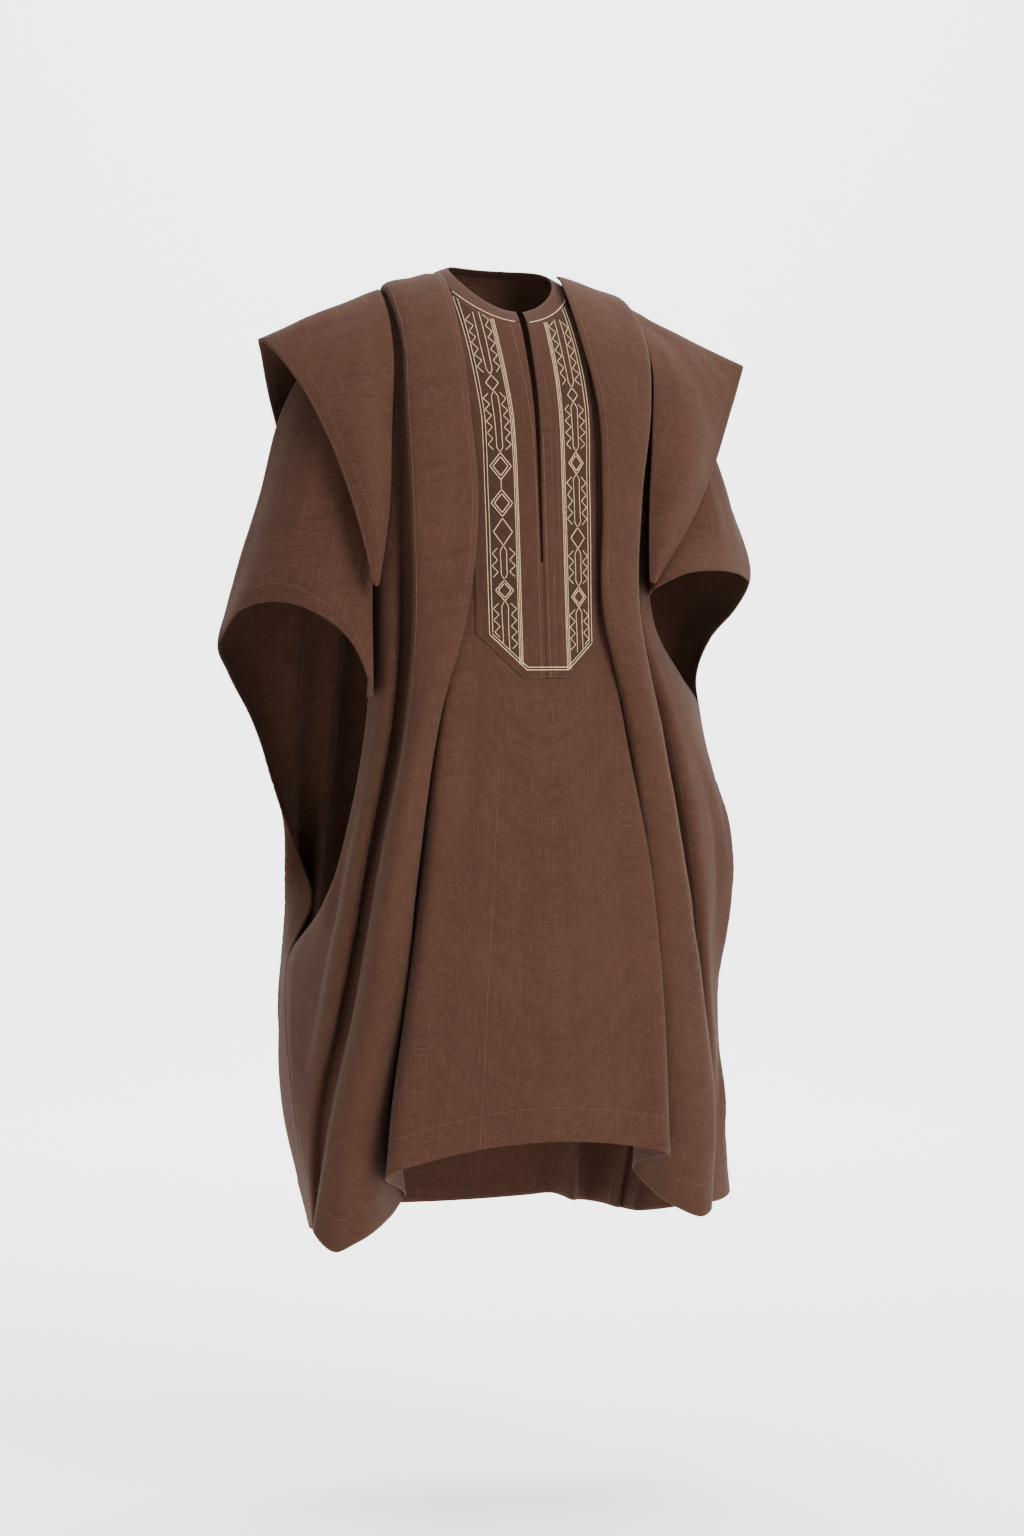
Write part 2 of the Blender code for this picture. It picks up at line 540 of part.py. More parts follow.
for which, table in (("right", wingRight), ("left", wingLeft)):
    rows = np.array(table, float)
    grid = surface([rows[:, c] for c in range(rows.shape[1])], (2, 2))
    normal = gridNormals(grid)
    if normal[5, 2, 2] < 0:
        normal = -normal
    cloth("wing_" + which, grid, normal, brown)

# chest panel, lying on the centre front with its lower corners cut off
out = frontNormal[:bottom + 1, firstCol:lastCol + 1]
base = drawIn(front[:bottom + 1, firstCol:lastCol + 1], ("top",)) + out * clothWall / 2
wide = base.shape[1] - 1
skip = {(r, slitColumn - firstCol) for r in range(slitRows)}
skip |= {(bottom - 1, 0), (bottom - 1, wide - 1)}
cut = {(bottom - 2, 0), (bottom - 1, 1), (bottom - 2, wide - 1), (bottom - 1, wide - 2)}
other = {(bottom - 2, 0), (bottom - 1, 1)}
shell("chest_panel", base + out * 1.5, base + out * seamGap, panelCloth, skip, other, cut)
print("triangles", sum(len(o.data.polygons) for o in bpy.data.objects))
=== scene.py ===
# Grand boubou robe, as worn: cloth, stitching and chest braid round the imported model.
# Tables are in millimetres; X is the wearer's left, -Y the front, Z up from the base
# of the neck. Meshes are made in metres.
import math

import bpy
import numpy as np
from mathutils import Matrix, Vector, noise
from mathutils.bvhtree import BVHTree


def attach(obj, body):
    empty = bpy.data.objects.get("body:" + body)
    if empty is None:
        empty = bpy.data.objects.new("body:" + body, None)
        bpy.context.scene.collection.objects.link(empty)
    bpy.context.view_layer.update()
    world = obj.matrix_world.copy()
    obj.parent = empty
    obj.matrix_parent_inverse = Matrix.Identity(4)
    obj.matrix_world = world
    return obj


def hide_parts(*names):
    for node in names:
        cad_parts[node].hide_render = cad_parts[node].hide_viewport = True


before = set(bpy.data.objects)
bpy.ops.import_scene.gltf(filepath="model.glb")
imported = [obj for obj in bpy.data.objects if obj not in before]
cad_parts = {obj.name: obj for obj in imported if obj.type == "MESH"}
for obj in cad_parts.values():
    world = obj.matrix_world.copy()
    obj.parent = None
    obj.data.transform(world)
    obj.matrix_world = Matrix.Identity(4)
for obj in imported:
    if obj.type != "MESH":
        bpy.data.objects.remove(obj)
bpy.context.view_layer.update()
print("frame loaded,", len(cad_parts), "nodes")

heights = (-90, -160, -280, -420, -560, -740, -920, -1050)

# Folds of the front on the wearer's right, from the middle outwards: the place at
# the shoulder, at the eight heights, and at the hem, in millimetres.
frontRight = {
    "panelEdge": ((-96, 0, -8), (
        (-102, -92), (-108, -124), (-106, -141), (-101, -158),
        (-124, -174), (-143, -186), (-170, -198), (-189, -207)), (-196, -210, -1112)),
    "valley": ((-108, 0, -12), (
        (-114, -86), (-121, -119), (-119, -137), (-121, -140),
        (-131, -128), (-146, -122), (-158, -110), (-164, -90)), (-148, -66, -1166)),
    "inner": ((-84, 0, 8), (
        (-83, -112), (-84, -146), (-78, -164), (-94, -173),
        (-136, -178), (-167, -182), (-192, -181), (-217, -172)), (-234, -158, -1206)),
    "ridge": ((-118, 0, 3), (
        (-118, -108), (-122, -144), (-118, -163), (-128, -173),
        (-154, -181), (-186, -187), (-214, -185), (-241, -176)), (-259, -156, -1217)),
    "edge": ((-157, 0, -12), (
        (-154, -88), (-160, -122), (-160, -145), (-160, -155),
        (-170, -157), (-204, -155), (-235, -149), (-263, -142)), (-281, -122, -1192)),
    "seam": ((-155, 0, -22), (
        (-149, -76), (-153, -109), (-153, -131), (-153, -140),
        (-164, -141), (-198, -137), (-229, -129), (-255, -122)), (-270, -104, -1190)),
    "shade": ((-162, 0, -28), (
        (-157, -62), (-158, -92), (-159, -110), (-161, -116),
        (-173, -112), (-208, -108), (-240, -103), (-260, -99)), (-263, -84, -1190)),
    "second": ((-172, 0, -28), (
        (-168, -62), (-167, -91), (-171, -112), (-175, -126),
        (-186, -129), (-222, -132), (-250, -124), (-274, -104)), (-270, -84, -1192)),
    "secondEdge": ((-180, 0, -33), (
        (-175, -57), (-174, -84), (-180, -102), (-187, -116),
        (-195, -120), (-230, -124), (-260, -111), (-282, -86)), (-270, -72, -1193)),
    "pocket": ((-185, 0, -37), (
        (-180, -51), (-179, -77), (-184, -92), (-191, -101),
        (-199, -103), (-236, -98), (-268, -78), (-286, -72)), (-265, -58, -1194)),
    "side": ((-187, 0, -40), (
        (-183, -47), (-183, -72), (-188, -85), (-194, -89),
        (-202, -89), (-238, -84), (-286, -6), (-288, -62)), (-262, -48, -1195)),
}
# The same on the wearer's left.
frontLeft = {
    "panelEdge": ((96, 0, -14), (
        (100, -92), (108, -124), (102, -141), (91, -154),
        (107, -172), (139, -185), (153, -196), (153, -206)), (152, -210, -1100)),
    "valley": ((108, 0, -18), (
        (112, -86), (121, -119), (118, -137), (114, -138),
        (118, -130), (138, -122), (150, -112), (156, -96)), (159, -74, -1143)),
    "inner": ((76, 0, 8), (
        (76, -114), (84, -146), (86, -163), (84, -173),
        (120, -176), (146, -178), (162, -176), (174, -158)), (196, -120, -1182)),
    "ridge": ((118, 0, -4), (
        (122, -108), (126, -144), (116, -165), (112, -176),
        (142, -180), (172, -180), (196, -172), (216, -152)), (230, -130, -1196)),
    "edge": ((162, 0, -26), (
        (171, -84), (164, -118), (143, -146), (136, -156),
        (163, -157), (198, -153), (228, -141), (250, -122)), (252, -108, -1188)),
    "seam": ((158, 0, -36), (
        (163, -72), (156, -104), (136, -130), (129, -139),
        (156, -141), (192, -135), (223, -122), (246, -104)), (252, -92, -1187)),
    "shade": ((166, 0, -42), (
        (170, -58), (163, -86), (144, -104), (138, -110),
        (172, -110), (208, -104), (232, -96), (254, -88)), (262, -76, -1186)),
    "second": ((174, 0, -44), (
        (177, -57), (170, -84), (155, -103), (150, -113),
        (190, -124), (226, -120), (246, -104), (268, -74)), (278, -62, -1186)),
    "secondEdge": ((181, 0, -48), (
        (183, -52), (176, -78), (164, -96), (160, -104),
        (210, -108), (256, -96), (264, -80), (284, -52)), (296, -44, -1183)),
    "pocket": ((186, 0, -51), (
        (187, -47), (181, -72), (170, -89), (168, -95),
        (242, -64), (296, -50), (284, -44), (294, -30)), (306, -26, -1180)),
    "side": ((188, 0, -54), (
        (190, -43), (184, -66), (174, -83), (175, -88),
        (278, 12), (318, -2), (294, -6), (299, -6)), (312, -8, -1178)),
}
# Folds of the back on the wearer's right; the left is mirrored and a little fuller.
backRight = {
    "panelEdge": ((-96, 0, -8), (
        (-98, 92), (-102, 118), (-100, 138), (-98, 150),
        (-102, 164), (-112, 180), (-122, 190), (-126, 197)), (-126, 199, -1208)),
    "valley": ((-108, 0, -12), (
        (-108, 86), (-114, 108), (-114, 127), (-114, 134),
        (-120, 140), (-132, 148), (-146, 154), (-150, 158)), (-146, 160, -1214)),
    "inner": ((-93, 0, 8), (
        (-111, 97), (-120, 121), (-122, 140), (-122, 150),
        (-130, 160), (-144, 170), (-160, 178), (-166, 184)), (-160, 186, -1217)),
    "ridge": ((-118, 0, 3), (
        (-128, 96), (-136, 122), (-138, 144), (-140, 156),
        (-148, 170), (-164, 184), (-180, 192), (-186, 196)), (-176, 197, -1220)),
    "edge": ((-157, 0, -12), (
        (-152, 80), (-160, 106), (-162, 130), (-166, 144),
        (-174, 156), (-192, 166), (-206, 172), (-212, 174)), (-193, 174, -1222)),
    "seam": ((-155, 0, -22), (
        (-154, 68), (-162, 94), (-166, 117), (-170, 130),
        (-179, 140), (-198, 146), (-212, 150), (-218, 152)), (-198, 152, -1223)),
    "shade": ((-162, 0, -28), (
        (-160, 60), (-168, 86), (-174, 108), (-180, 122),
        (-190, 130), (-208, 134), (-220, 138), (-225, 142)), (-202, 144, -1224)),
    "second": ((-172, 0, -28), (
        (-170, 58), (-178, 86), (-188, 110), (-196, 128),
        (-206, 142), (-224, 152), (-234, 156), (-236, 156)), (-207, 152, -1225)),
    "secondEdge": ((-180, 0, -33), (
        (-178, 54), (-188, 80), (-200, 104), (-212, 124),
        (-222, 138), (-232, 146), (-242, 142), (-244, 138)), (-212, 132, -1225)),
    "pocket": ((-186, 0, -38), (
        (-186, 48), (-197, 74), (-211, 98), (-226, 118),
        (-236, 130), (-240, 132), (-250, 122), (-250, 116)), (-217, 108, -1224)),
}
# Sleeve backs: height, then the edge, side and back of the side length.
sleeveBackRight = {
    "top": ((-232, 0, -80), (-222, 6, -72), (-208, 8, -60)),
    -90: ((-240, 3), (-228, 22), (-208, 40)),
    -160: ((-283, 5), (-268, 38), (-234, 70)),
    -280: ((-316, 12), (-303, 56), (-262, 94)),
    -357: ((-340, 15), (-326, 66), (-282, 108)),
    -420: ((-357, 19), (-340, 74), (-296, 118)),
    -462: ((-367, 22), (-346, 82), (-300, 124)),
    -500: ((-345, 60), (-328, 98), (-290, 128)),
    -560: ((-306, 96), (-297, 114), (-276, 130)),
    -640: ((-274, 108), (-268, 118), (-254, 125)),
    -740: ((-246, 76), (-257, 90), (-250, 120)),
    -790: ((-244, 24), (-262, 58), (-252, 108)),
    -868: ((-280, 10), (-278, 46), (-258, 100)),
    -920: ((-286, -6), (-284, 40), (-261, 98)),
    -1050: ((-288, -62), (-287, 12), (-264, 86)),
    "hem": ((-262, -48, -1195), (-252, 8, -1208), (-232, 66, -1220)),
}
sleeveBackLeft = {
    "top": ((240, 0, -84), (230, 6, -78), (212, 8, -66)),
    -90: ((254, 1, -98), (240, 22), (214, 40)),
    -160: ((268, -5), (258, 34), (232, 66)),
    -280: ((306, -20), (298, 32), (262, 88)),
    -384: ((329, -34), (314, 34), (276, 104)),
    -420: ((321, 0), (308, 50), (276, 110)),
    -458: ((297, 28), (292, 66), (270, 116)),
    -506: ((277, 26), (284, 66), (266, 118)),
    -560: ((278, 12), (287, 54), (268, 116)),
    -640: ((294, 4), (300, 46), (278, 110)),
    -740: ((318, -2), (314, 40), (286, 110)),
    -840: ((306, -4), (304, 38), (280, 114)),
    -920: ((294, -6), (294, 38), (276, 116)),
    -1050: ((299, -6), (290, 40), (276, 116)),
    "hem": ((312, -8, -1178), (300, 40, -1198), (276, 112, -1218)),
}
# Sleeve fronts, down the top seam: inner seam, two across, outer, top seam.
sleeveFrontRight = (
    ((-187, -4, -50), (-196, -5, -56), (-208, -5, -63), (-220, -4, -72), (-232, 0, -80)),
    ((-190, -52, -98), (-206, -46, -100), (-220, -34, -100), (-233, -18, -96), (-240, 3, -90)),
    ((-193, -84, -165), (-214, -80, -166), (-244, -64, -168), (-270, -34, -166), (-283, 5, -160)),
    ((-198, -100, -280), (-231, -98, -278), (-272, -78, -276), (-304, -36, -276), (-316, 12, -280)),
    ((-204, -118, -400), (-242, -114, -372), (-288, -90, -356), (-326, -42, -354), (-340, 15, -357)),
    ((-207, -136, -478), (-242, -132, -426), (-298, -98, -392), (-343, -40, -395), (-357, 19, -420)),
    ((-209, -146, -522), (-238, -139, -456), (-299, -103, -413), (-350, -38, -419), (-367, 22, -462)),
)
sleeveFrontLeft = (
    ((196, -5, -61), (205, -5, -65), (216, -5, -71), (228, -4, -78), (240, 0, -84)),
    ((199, -52, -104), (212, -46, -106), (228, -34, -106), (244, -18, -102), (254, 1, -98)),
    ((190, -82, -160), (212, -78, -164), (238, -62, -166), (258, -36, -164), (268, -5, -160)),
    ((184, -108, -290), (210, -107, -284), (250, -94, -280), (288, -62, -279), (306, -20, -280)),
    ((172, -124, -346), (205, -125, -336), (250, -111, -330), (294, -72, -330), (318, -28, -333)),
    ((160, -145, -393), (200, -150, -374), (250, -124, -370), (298, -80, -374), (329, -34, -384)),
)
# Shoulder wings from the front point over the shoulder to the back point:
# inner edge, middle, free edge.
wingRight = (
    ((-199, -141, -388), (-203, -143, -391), (-207, -143, -388)),
    ((-184, -132, -300), (-204, -142, -303), (-226, -132, -304)),
    ((-175, -114, -190), (-216, -124, -205), (-259, -97, -194)),
    ((-165, -83, -92), (-228, -86, -122), (-289, -62, -126)),
    ((-162, -40, -38), (-240, -46, -74), (-307, -30, -94)),
    ((-162, 0, -13), (-246, -2, -46), (-318, 0, -79)),
    ((-162, 40, -32), (-240, 44, -72), (-308, 28, -98)),
    ((-169, 77, -88), (-230, 82, -120), (-293, 58, -140)),
    ((-188, 104, -180), (-222, 112, -196), (-270, 90, -200)),
    ((-204, 124, -280), (-224, 130, -288), (-248, 118, -288)),
    ((-222, 138, -372), (-226, 140, -376), (-230, 138, -372)),
)
wingLeft = (
    ((152, -150, -384), (157, -152, -387), (162, -150, -384)),
    ((153, -145, -346), (168, -153, -350), (183, -144, -353)),
    ((156, -136, -296), (180, -148, -308), (212, -130, -312)),
    ((166, -118, -200), (212, -128, -216), (262, -82, -238)),
    ((176, -82, -101), (236, -82, -138), (298, -44, -166)),
    ((172, -40, -53), (246, -42, -94), (318, -20, -128)),
    ((167, 0, -27), (252, -2, -68), (331, 0, -102)),
    ((167, 40, -46), (246, 44, -90), (318, 28, -122)),
    ((173, 77, -100), (236, 82, -136), (298, 58, -160)),
    ((192, 104, -190), (226, 112, -206), (272, 90, -212)),
    ((206, 124, -290), (228, 130, -298), (250, 118, -298)),
    ((224, 138, -380), (228, 140, -384), (232, 138, -380)),
)

robe = {
    "step": 4.6,             # mm between points of the cloth
    "wall": 1.1,             # mm of cloth as seen at an edge
    "hemTurn": 0.7,          # mm that a turned hem adds inside
    "seamDip": 0.55,         # mm that a seam line sinks
    "seamWidth": 1.6,
    "wrinkle": 1.0,          # mm of long uneven waviness
    "pucker": 0.22,          # mm of small uneven waviness
    "neckOuter": 83.0, "neckInner": 66.0,
    "slitX": 5.0, "slitTop": 9.0, "slitFoot": 3.0, "slitEnd": -360.0,
    "shoulderTilt": 0.05,
    "topRows": 26, "midRows": 210, "hemRows": 32,
}
# heights between which the front's outer line leaves the sleeve mouth for the side seam
mouthFoot = {"right": (-790, -868), "left": (-508, -560)}


def unit(vectors):
    return vectors / np.maximum(np.linalg.norm(vectors, axis=-1, keepdims=True), 1e-9)


def smooth(value):
    value = np.clip(value, 0, 1)
    return value * value * (3 - 2 * value)


def curve(points, at):
    # a smooth curve through the points; at counts along them, 0 to n - 1
    points = np.asarray(points, float)
    at = np.asarray(at, float)
    lengths = np.maximum(np.linalg.norm(np.diff(points, axis=0), axis=1), 1e-6)
    steps = np.diff(points, axis=0) / lengths[:, None]
    slope = np.empty_like(points)
    slope[0], slope[-1] = steps[0], steps[-1]
    before, after = lengths[:-1, None], lengths[1:, None]
    slope[1:-1] = (steps[:-1] * after + steps[1:] * before) / (before + after)
    k = np.clip(np.floor(at).astype(int), 0, len(points) - 2)
    f = (at - k)[:, None]
    span = lengths[k][:, None]
    return ((2 * f ** 3 - 3 * f ** 2 + 1) * points[k] + (f ** 3 - 2 * f ** 2 + f) * slope[k] * span
            + (3 * f ** 2 - 2 * f ** 3) * points[k + 1] + (f ** 3 - f ** 2) * slope[k + 1] * span)


# rows of the cloth: shares of the way over the shoulder, heights, shares down to the hem
topAt = np.arange(0, 1, 1 / robe["topRows"])
midZ = np.linspace(heights[0], heights[-1], robe["midRows"])
hemAt = np.arange(1, robe["hemRows"] + 1) / robe["hemRows"]
rowTotal = len(topAt) + len(midZ) + len(hemAt)


def rowOf(z):
    return len(topAt) + int(np.argmin(np.abs(midZ - z)))


def fold(points, ghost):
    # one fold line at every row, from the shoulder to the hem
    line = np.array([ghost] + list(points), float)
    first = next(k for k in range(2, len(line)) if abs(line[k][2] - heights[0]) < 9)
    last = len(line) - 2
    dense = np.linspace(first, last, 2400)
    depth = np.minimum.accumulate(curve(line, dense)[:, 2])
    mids = np.interp(-midZ, -depth, dense)
    return curve(line, np.concatenate((1 + topAt * (first - 1), mids, last + hemAt)))


def tableFold(row, partner):
    top, mids, hem = row
    points = [top] + [(x, y, z) for (x, y), z in zip(mids, heights)] + [hem]
    over = partner[1][0] if partner is not row else (mids[0][0], -mids[0][1])
    return fold(points, (*over, heights[0]))


def neckPoint(radius, angle):
    # angle 0 is the front, 90 the wearer's left, 180 the back
    a = math.radians(angle)
    x, y = radius * math.sin(a), -radius * math.cos(a)
    dip = (0.5 + 0.5 * math.cos(a)) ** 2.4
    z = 18 - 62 * dip - (radius - robe["neckInner"]) * (0.35 + 0.4 * dip)
    return np.array((x, y, z - robe["shoulderTilt"] * x))


# folds across the flat centre: degrees round the neck, mm out, share at the hem
columns = ((14, 17, 0.12), (28, 33, 0.26), (46, 55.5, 0.42), (66, 78, 0.60), (88, 90, 0.80))


def edgeRow(row):
    top, mids, hem = row
    return [(x, y, z) for (x, y), z in zip(mids, heights)] + [hem]


def panelFolds(left, right, front):
    slitX, slitTop, slitFoot, slitEnd = (robe[k] for k in ("slitX", "slitTop", "slitFoot", "slitEnd"))
    centre = slitX if front else 0
    plan = [(-a, -d, -s, 0) for a, d, s in reversed(columns)]
    plan += [(0, 0, 0, -1), (0, 0, 0, 1)] if front else [(0, 0, 0, 0)]
    plan += [(a, d, s, 0) for a, d, s in columns]
    bulge = (14, 14, 15, 14, 12, 10, 9, 8, 7)
    folds = []
    for angle, out, share, slit in plan:
        top = neckPoint(robe["neckOuter"] + 0.4, angle if front else 180 - angle)
        top[0] += slit and slitX + slit * slitTop / 2
        line = []
        for k in range(len(heights) + 1):
            a, b = left[k], right[k]
            edge = b[0] - centre if share > 0 else centre - a[0]
            out = math.copysign(min(abs(out), edge - 3), out)
            low = min(max((k - 3) / 2, 0), 1)
            x = centre + out * (1 - low) + share * edge * low
            w = (x - a[0]) / (b[0] - a[0])
            swell = bulge[k] * (1 - (2 * w - 1) ** 2)
            y = a[1] + (b[1] - a[1]) * w + (-swell if front else swell)
            z = a[2] + (b[2] - a[2]) * w
            if k == len(heights):
                z += (24 if front else -4) * (1 - (2 * w - 1) ** 2)
            line.append([x, y, z])
        if slit:
            for point in line:
                fall = min(max((point[2] + 60) / (slitEnd + 60), 0), 1)
                point[0] = slitX + slit * (slitTop + (slitFoot - slitTop) * fall) / 2
        folds.append(fold([top] + line, top + (0, 6 if front else -6, 5)))
    return folds


def across(folds):
    # the grid through the folds, and the place of each column counted in folds
    folds = np.array(folds)
    at = [0.0]
    for k in range(len(folds) - 1):
        gap = np.linalg.norm(folds[k + 1] - folds[k], axis=1).mean()
        n = max(1, round(gap / robe["step"]))
        at += [k + i / n for i in range(1, n + 1)]
    at = np.array(at)
    return np.array([curve(folds[:, r], at) for r in range(folds.shape[1])]), at


def arcs(grid, axis):
    steps = np.linalg.norm(np.diff(grid, axis=axis), axis=2)
    start = np.zeros_like(np.take(steps, [0], axis=axis))
    return np.concatenate((start, np.cumsum(steps, axis=axis)), axis=axis)


def gridNormals(grid):
    return unit(np.cross(unit(np.gradient(grid, axis=1)), unit(np.gradient(grid, axis=0))))


def gridAt(grid, rows, cols):
    # points between the points of a grid
    rows, cols = np.broadcast_arrays(np.asarray(rows, float), np.asarray(cols, float))
    r = np.clip(np.floor(rows).astype(int), 0, grid.shape[0] - 2)
    c = np.clip(np.floor(cols).astype(int), 0, grid.shape[1] - 2)
    a, b = (rows - r)[..., None], (cols - c)[..., None]
    return ((1 - a) * ((1 - b) * grid[r, c] + b * grid[r, c + 1])
            + a * ((1 - b) * grid[r + 1, c] + b * grid[r + 1, c + 1]))


def mirrored(table, fuller):
    out = {}
    for name, (top, mids, hem) in table.items():
        drop = 7 if top[0] > -130 else 14
        out[name] = ((-top[0], top[1], top[2] - drop), tuple((-x * fuller, y) for x, y in mids),
                     (-hem[0] * fuller, hem[1], hem[2] + 4))
    return out


def sleeveBackFolds(table):
    folds = []
    for k in range(3):
        line = [(*places[k], z) if len(places[k]) == 2 else places[k] for z, places in table.items()]
        folds.append(fold(line, (line[1][0], line[1][1] - 90 if k else -line[1][1], line[1][2])))
    return folds


backLeft = mirrored(backRight, 1.03)
centreOut = ("panelEdge", "valley", "inner", "ridge", "edge", "seam")
frontOut = centreOut + ("shade", "second", "secondEdge", "pocket", "side")
backOut = centreOut + ("shade", "second", "secondEdge", "pocket")
sleeveBack = {"right": sleeveBackFolds(sleeveBackRight), "left": sleeveBackFolds(sleeveBackLeft)}


def frontSide(table, partner, which):
    high, low = mouthFoot[which]
    folds = [tableFold(table[key], partner.get(key, table[key])) for key in frontOut]
    to = smooth((high - folds[-1][:, 2]) / (high - low))[:, None]
    to[:rowOf(high)] = 0
    to[rowOf(low):] = 1
    folds[-1] = folds[-1] * (1 - to) + sleeveBack[which][0] * to
    return folds


def backSide(table, partner, which):
    return [tableFold(table[key], partner[key]) for key in backOut] + sleeveBack[which][::-1]


rightFolds, leftFolds = frontSide(frontRight, backRight, "right"), frontSide(frontLeft, backLeft, "left")
middle = panelFolds(edgeRow(frontRight["panelEdge"]), edgeRow(frontLeft["panelEdge"]), True)
front, frontAt = across(rightFolds[::-1] + middle + leftFolds)
rightFolds, leftFolds = backSide(backRight, frontRight, "right"), backSide(backLeft, frontLeft, "left")
middle = panelFolds(edgeRow(backRight["panelEdge"]), edgeRow(backLeft["panelEdge"]), False)
back, backAt = across(rightFolds[::-1] + middle + leftFolds)

# where each named fold stands, counted across the front and across the back
frontPlace, backPlace = {}, {}
for k, key in enumerate(frontOut):
    frontPlace[key, "right"] = len(frontOut) - 1 - k
    frontPlace[key, "left"] = len(frontOut) + 2 * len(columns) + 2 + k
for k, key in enumerate(backOut + ("back", "side", "mouth")):
    backPlace[key, "right"] = len(backOut) + 2 - k
    backPlace[key, "left"] = len(backOut) + 3 + 2 * len(columns) + 1 + k
slitPlace = len(frontOut) + len(columns)        # right edge of the slit


def columnOf(places, place):
    return int(np.argmin(np.abs(places - place)))


def frontColumn(key, which):
    return columnOf(frontAt, frontPlace[key, which])


def backColumn(key, which):
    return columnOf(backAt, backPlace[key, which])


# sleeve fronts, between the side length and the top seam of the sleeve
sleeveRows = {"right": rowOf(-462), "left": rowOf(-384)}
sleeves = {}
for which, table, edge, sign in (("right", sleeveFrontRight, 0, -1), ("left", sleeveFrontLeft, -1, 1)):
    rows = np.array(table, float)
    ridge, inner = back[:, edge], front[:, edge]
    stop = sleeveRows[which]
    at = np.interp(-ridge[:stop + 1, 2], -rows[:, -1, 2], range(len(rows)))
    folds = [curve(rows[:, c], at) for c in range(rows.shape[1])]
    folds[-1] = ridge[:stop + 1].copy()
    drop = np.minimum.accumulate(inner[:, 2])
    seam = []
    for k, point in enumerate(folds[0]):
        row = np.interp(-(point[2] - 8 * k / stop), -drop, range(len(inner)))
        seam.append(curve(inner, [row])[0] + (sign * 1.5, 0, 0))
    sleeves[which] = across([np.array(seam)] + folds)
print("cloth drafted:", front.shape, back.shape, sleeves["right"][0].shape, sleeves["left"][0].shape)


def placeToColumn(places, place):
    return np.interp(place, places, range(len(places)))


def crease(grid, places, path, width, depth, spread=1.7):
    # a soft ridge or trough along path, which is (place across, height) pairs
    rows = []
    for place, z in path:
        fall = np.minimum.accumulate(grid[:, columnOf(places, place), 2])
        rows.append(np.interp(-z, -fall, range(len(grid))))
    over = [place for place, z in path]
    fine = np.linspace(0, len(path) - 1, 12 * len(path))
    line = curve(gridAt(grid, rows, [placeToColumn(places, place) for place in over]), fine)
    middle = np.interp(fine, range(len(path)), over)
    low, high = columnOf(places, min(over) - spread), columnOf(places, max(over) + spread)
    part = grid[:, low:high + 1].reshape(-1, 3)
    near, best = np.zeros(len(part), int), np.full(len(part), 1e9)
    for k, point in enumerate(line):
        far = ((part - point) ** 2).sum(1)
        closer = far < best
        best[closer], near[closer] = far[closer], k
    t = near / (len(line) - 1)
    place = np.repeat(places[None, low:high + 1], len(grid), 0).ravel()
    mask = smooth((spread - np.abs(place - middle[near])) * 1.5)
    taper = np.sin(math.pi * np.clip(t, 0, 1)) ** 0.55 * (1 + 0.25 * np.sin(t * 9 + len(path) + width))
    amount = depth * taper * mask * np.exp(-best / (width * (0.8 + 0.45 * t)) ** 2)
    out = np.zeros(grid.shape[:2])
    out[:, low:high + 1] = amount.reshape(len(grid), -1)
    return out


def waviness(grid, seed, calm=None):
    # long uneven waviness of hanging cloth, with a finer one over it
    over = arcs(grid, 1)
    out = np.zeros(grid.shape[:2])
    for r in range(grid.shape[0]):
        for c in range(grid.shape[1]):
            u, z = over[r, c], grid[r, c, 2]
            long = noise.noise(Vector((u / 52, z / 330, seed)))
            small = noise.noise(Vector((u / 17, z / 60, seed + 9)))
            out[r, c] = robe["wrinkle"] * long + robe["pucker"] * small
    return out if calm is None else out * calm


def seamDip(grid, column):
    # the cloth sinks a little at a seam
    away = np.abs(arcs(grid, 1) - arcs(grid, 1)[:, column:column + 1])
    return -robe["seamDip"] * np.exp(-(away / robe["seamWidth"]) ** 2)



def placed(side, path, places):
    # a crease point names its fold, shift and height, or its place across and height
    return [(places[p[0], side] + p[1], p[2]) if len(p) == 3 else p for p in path]


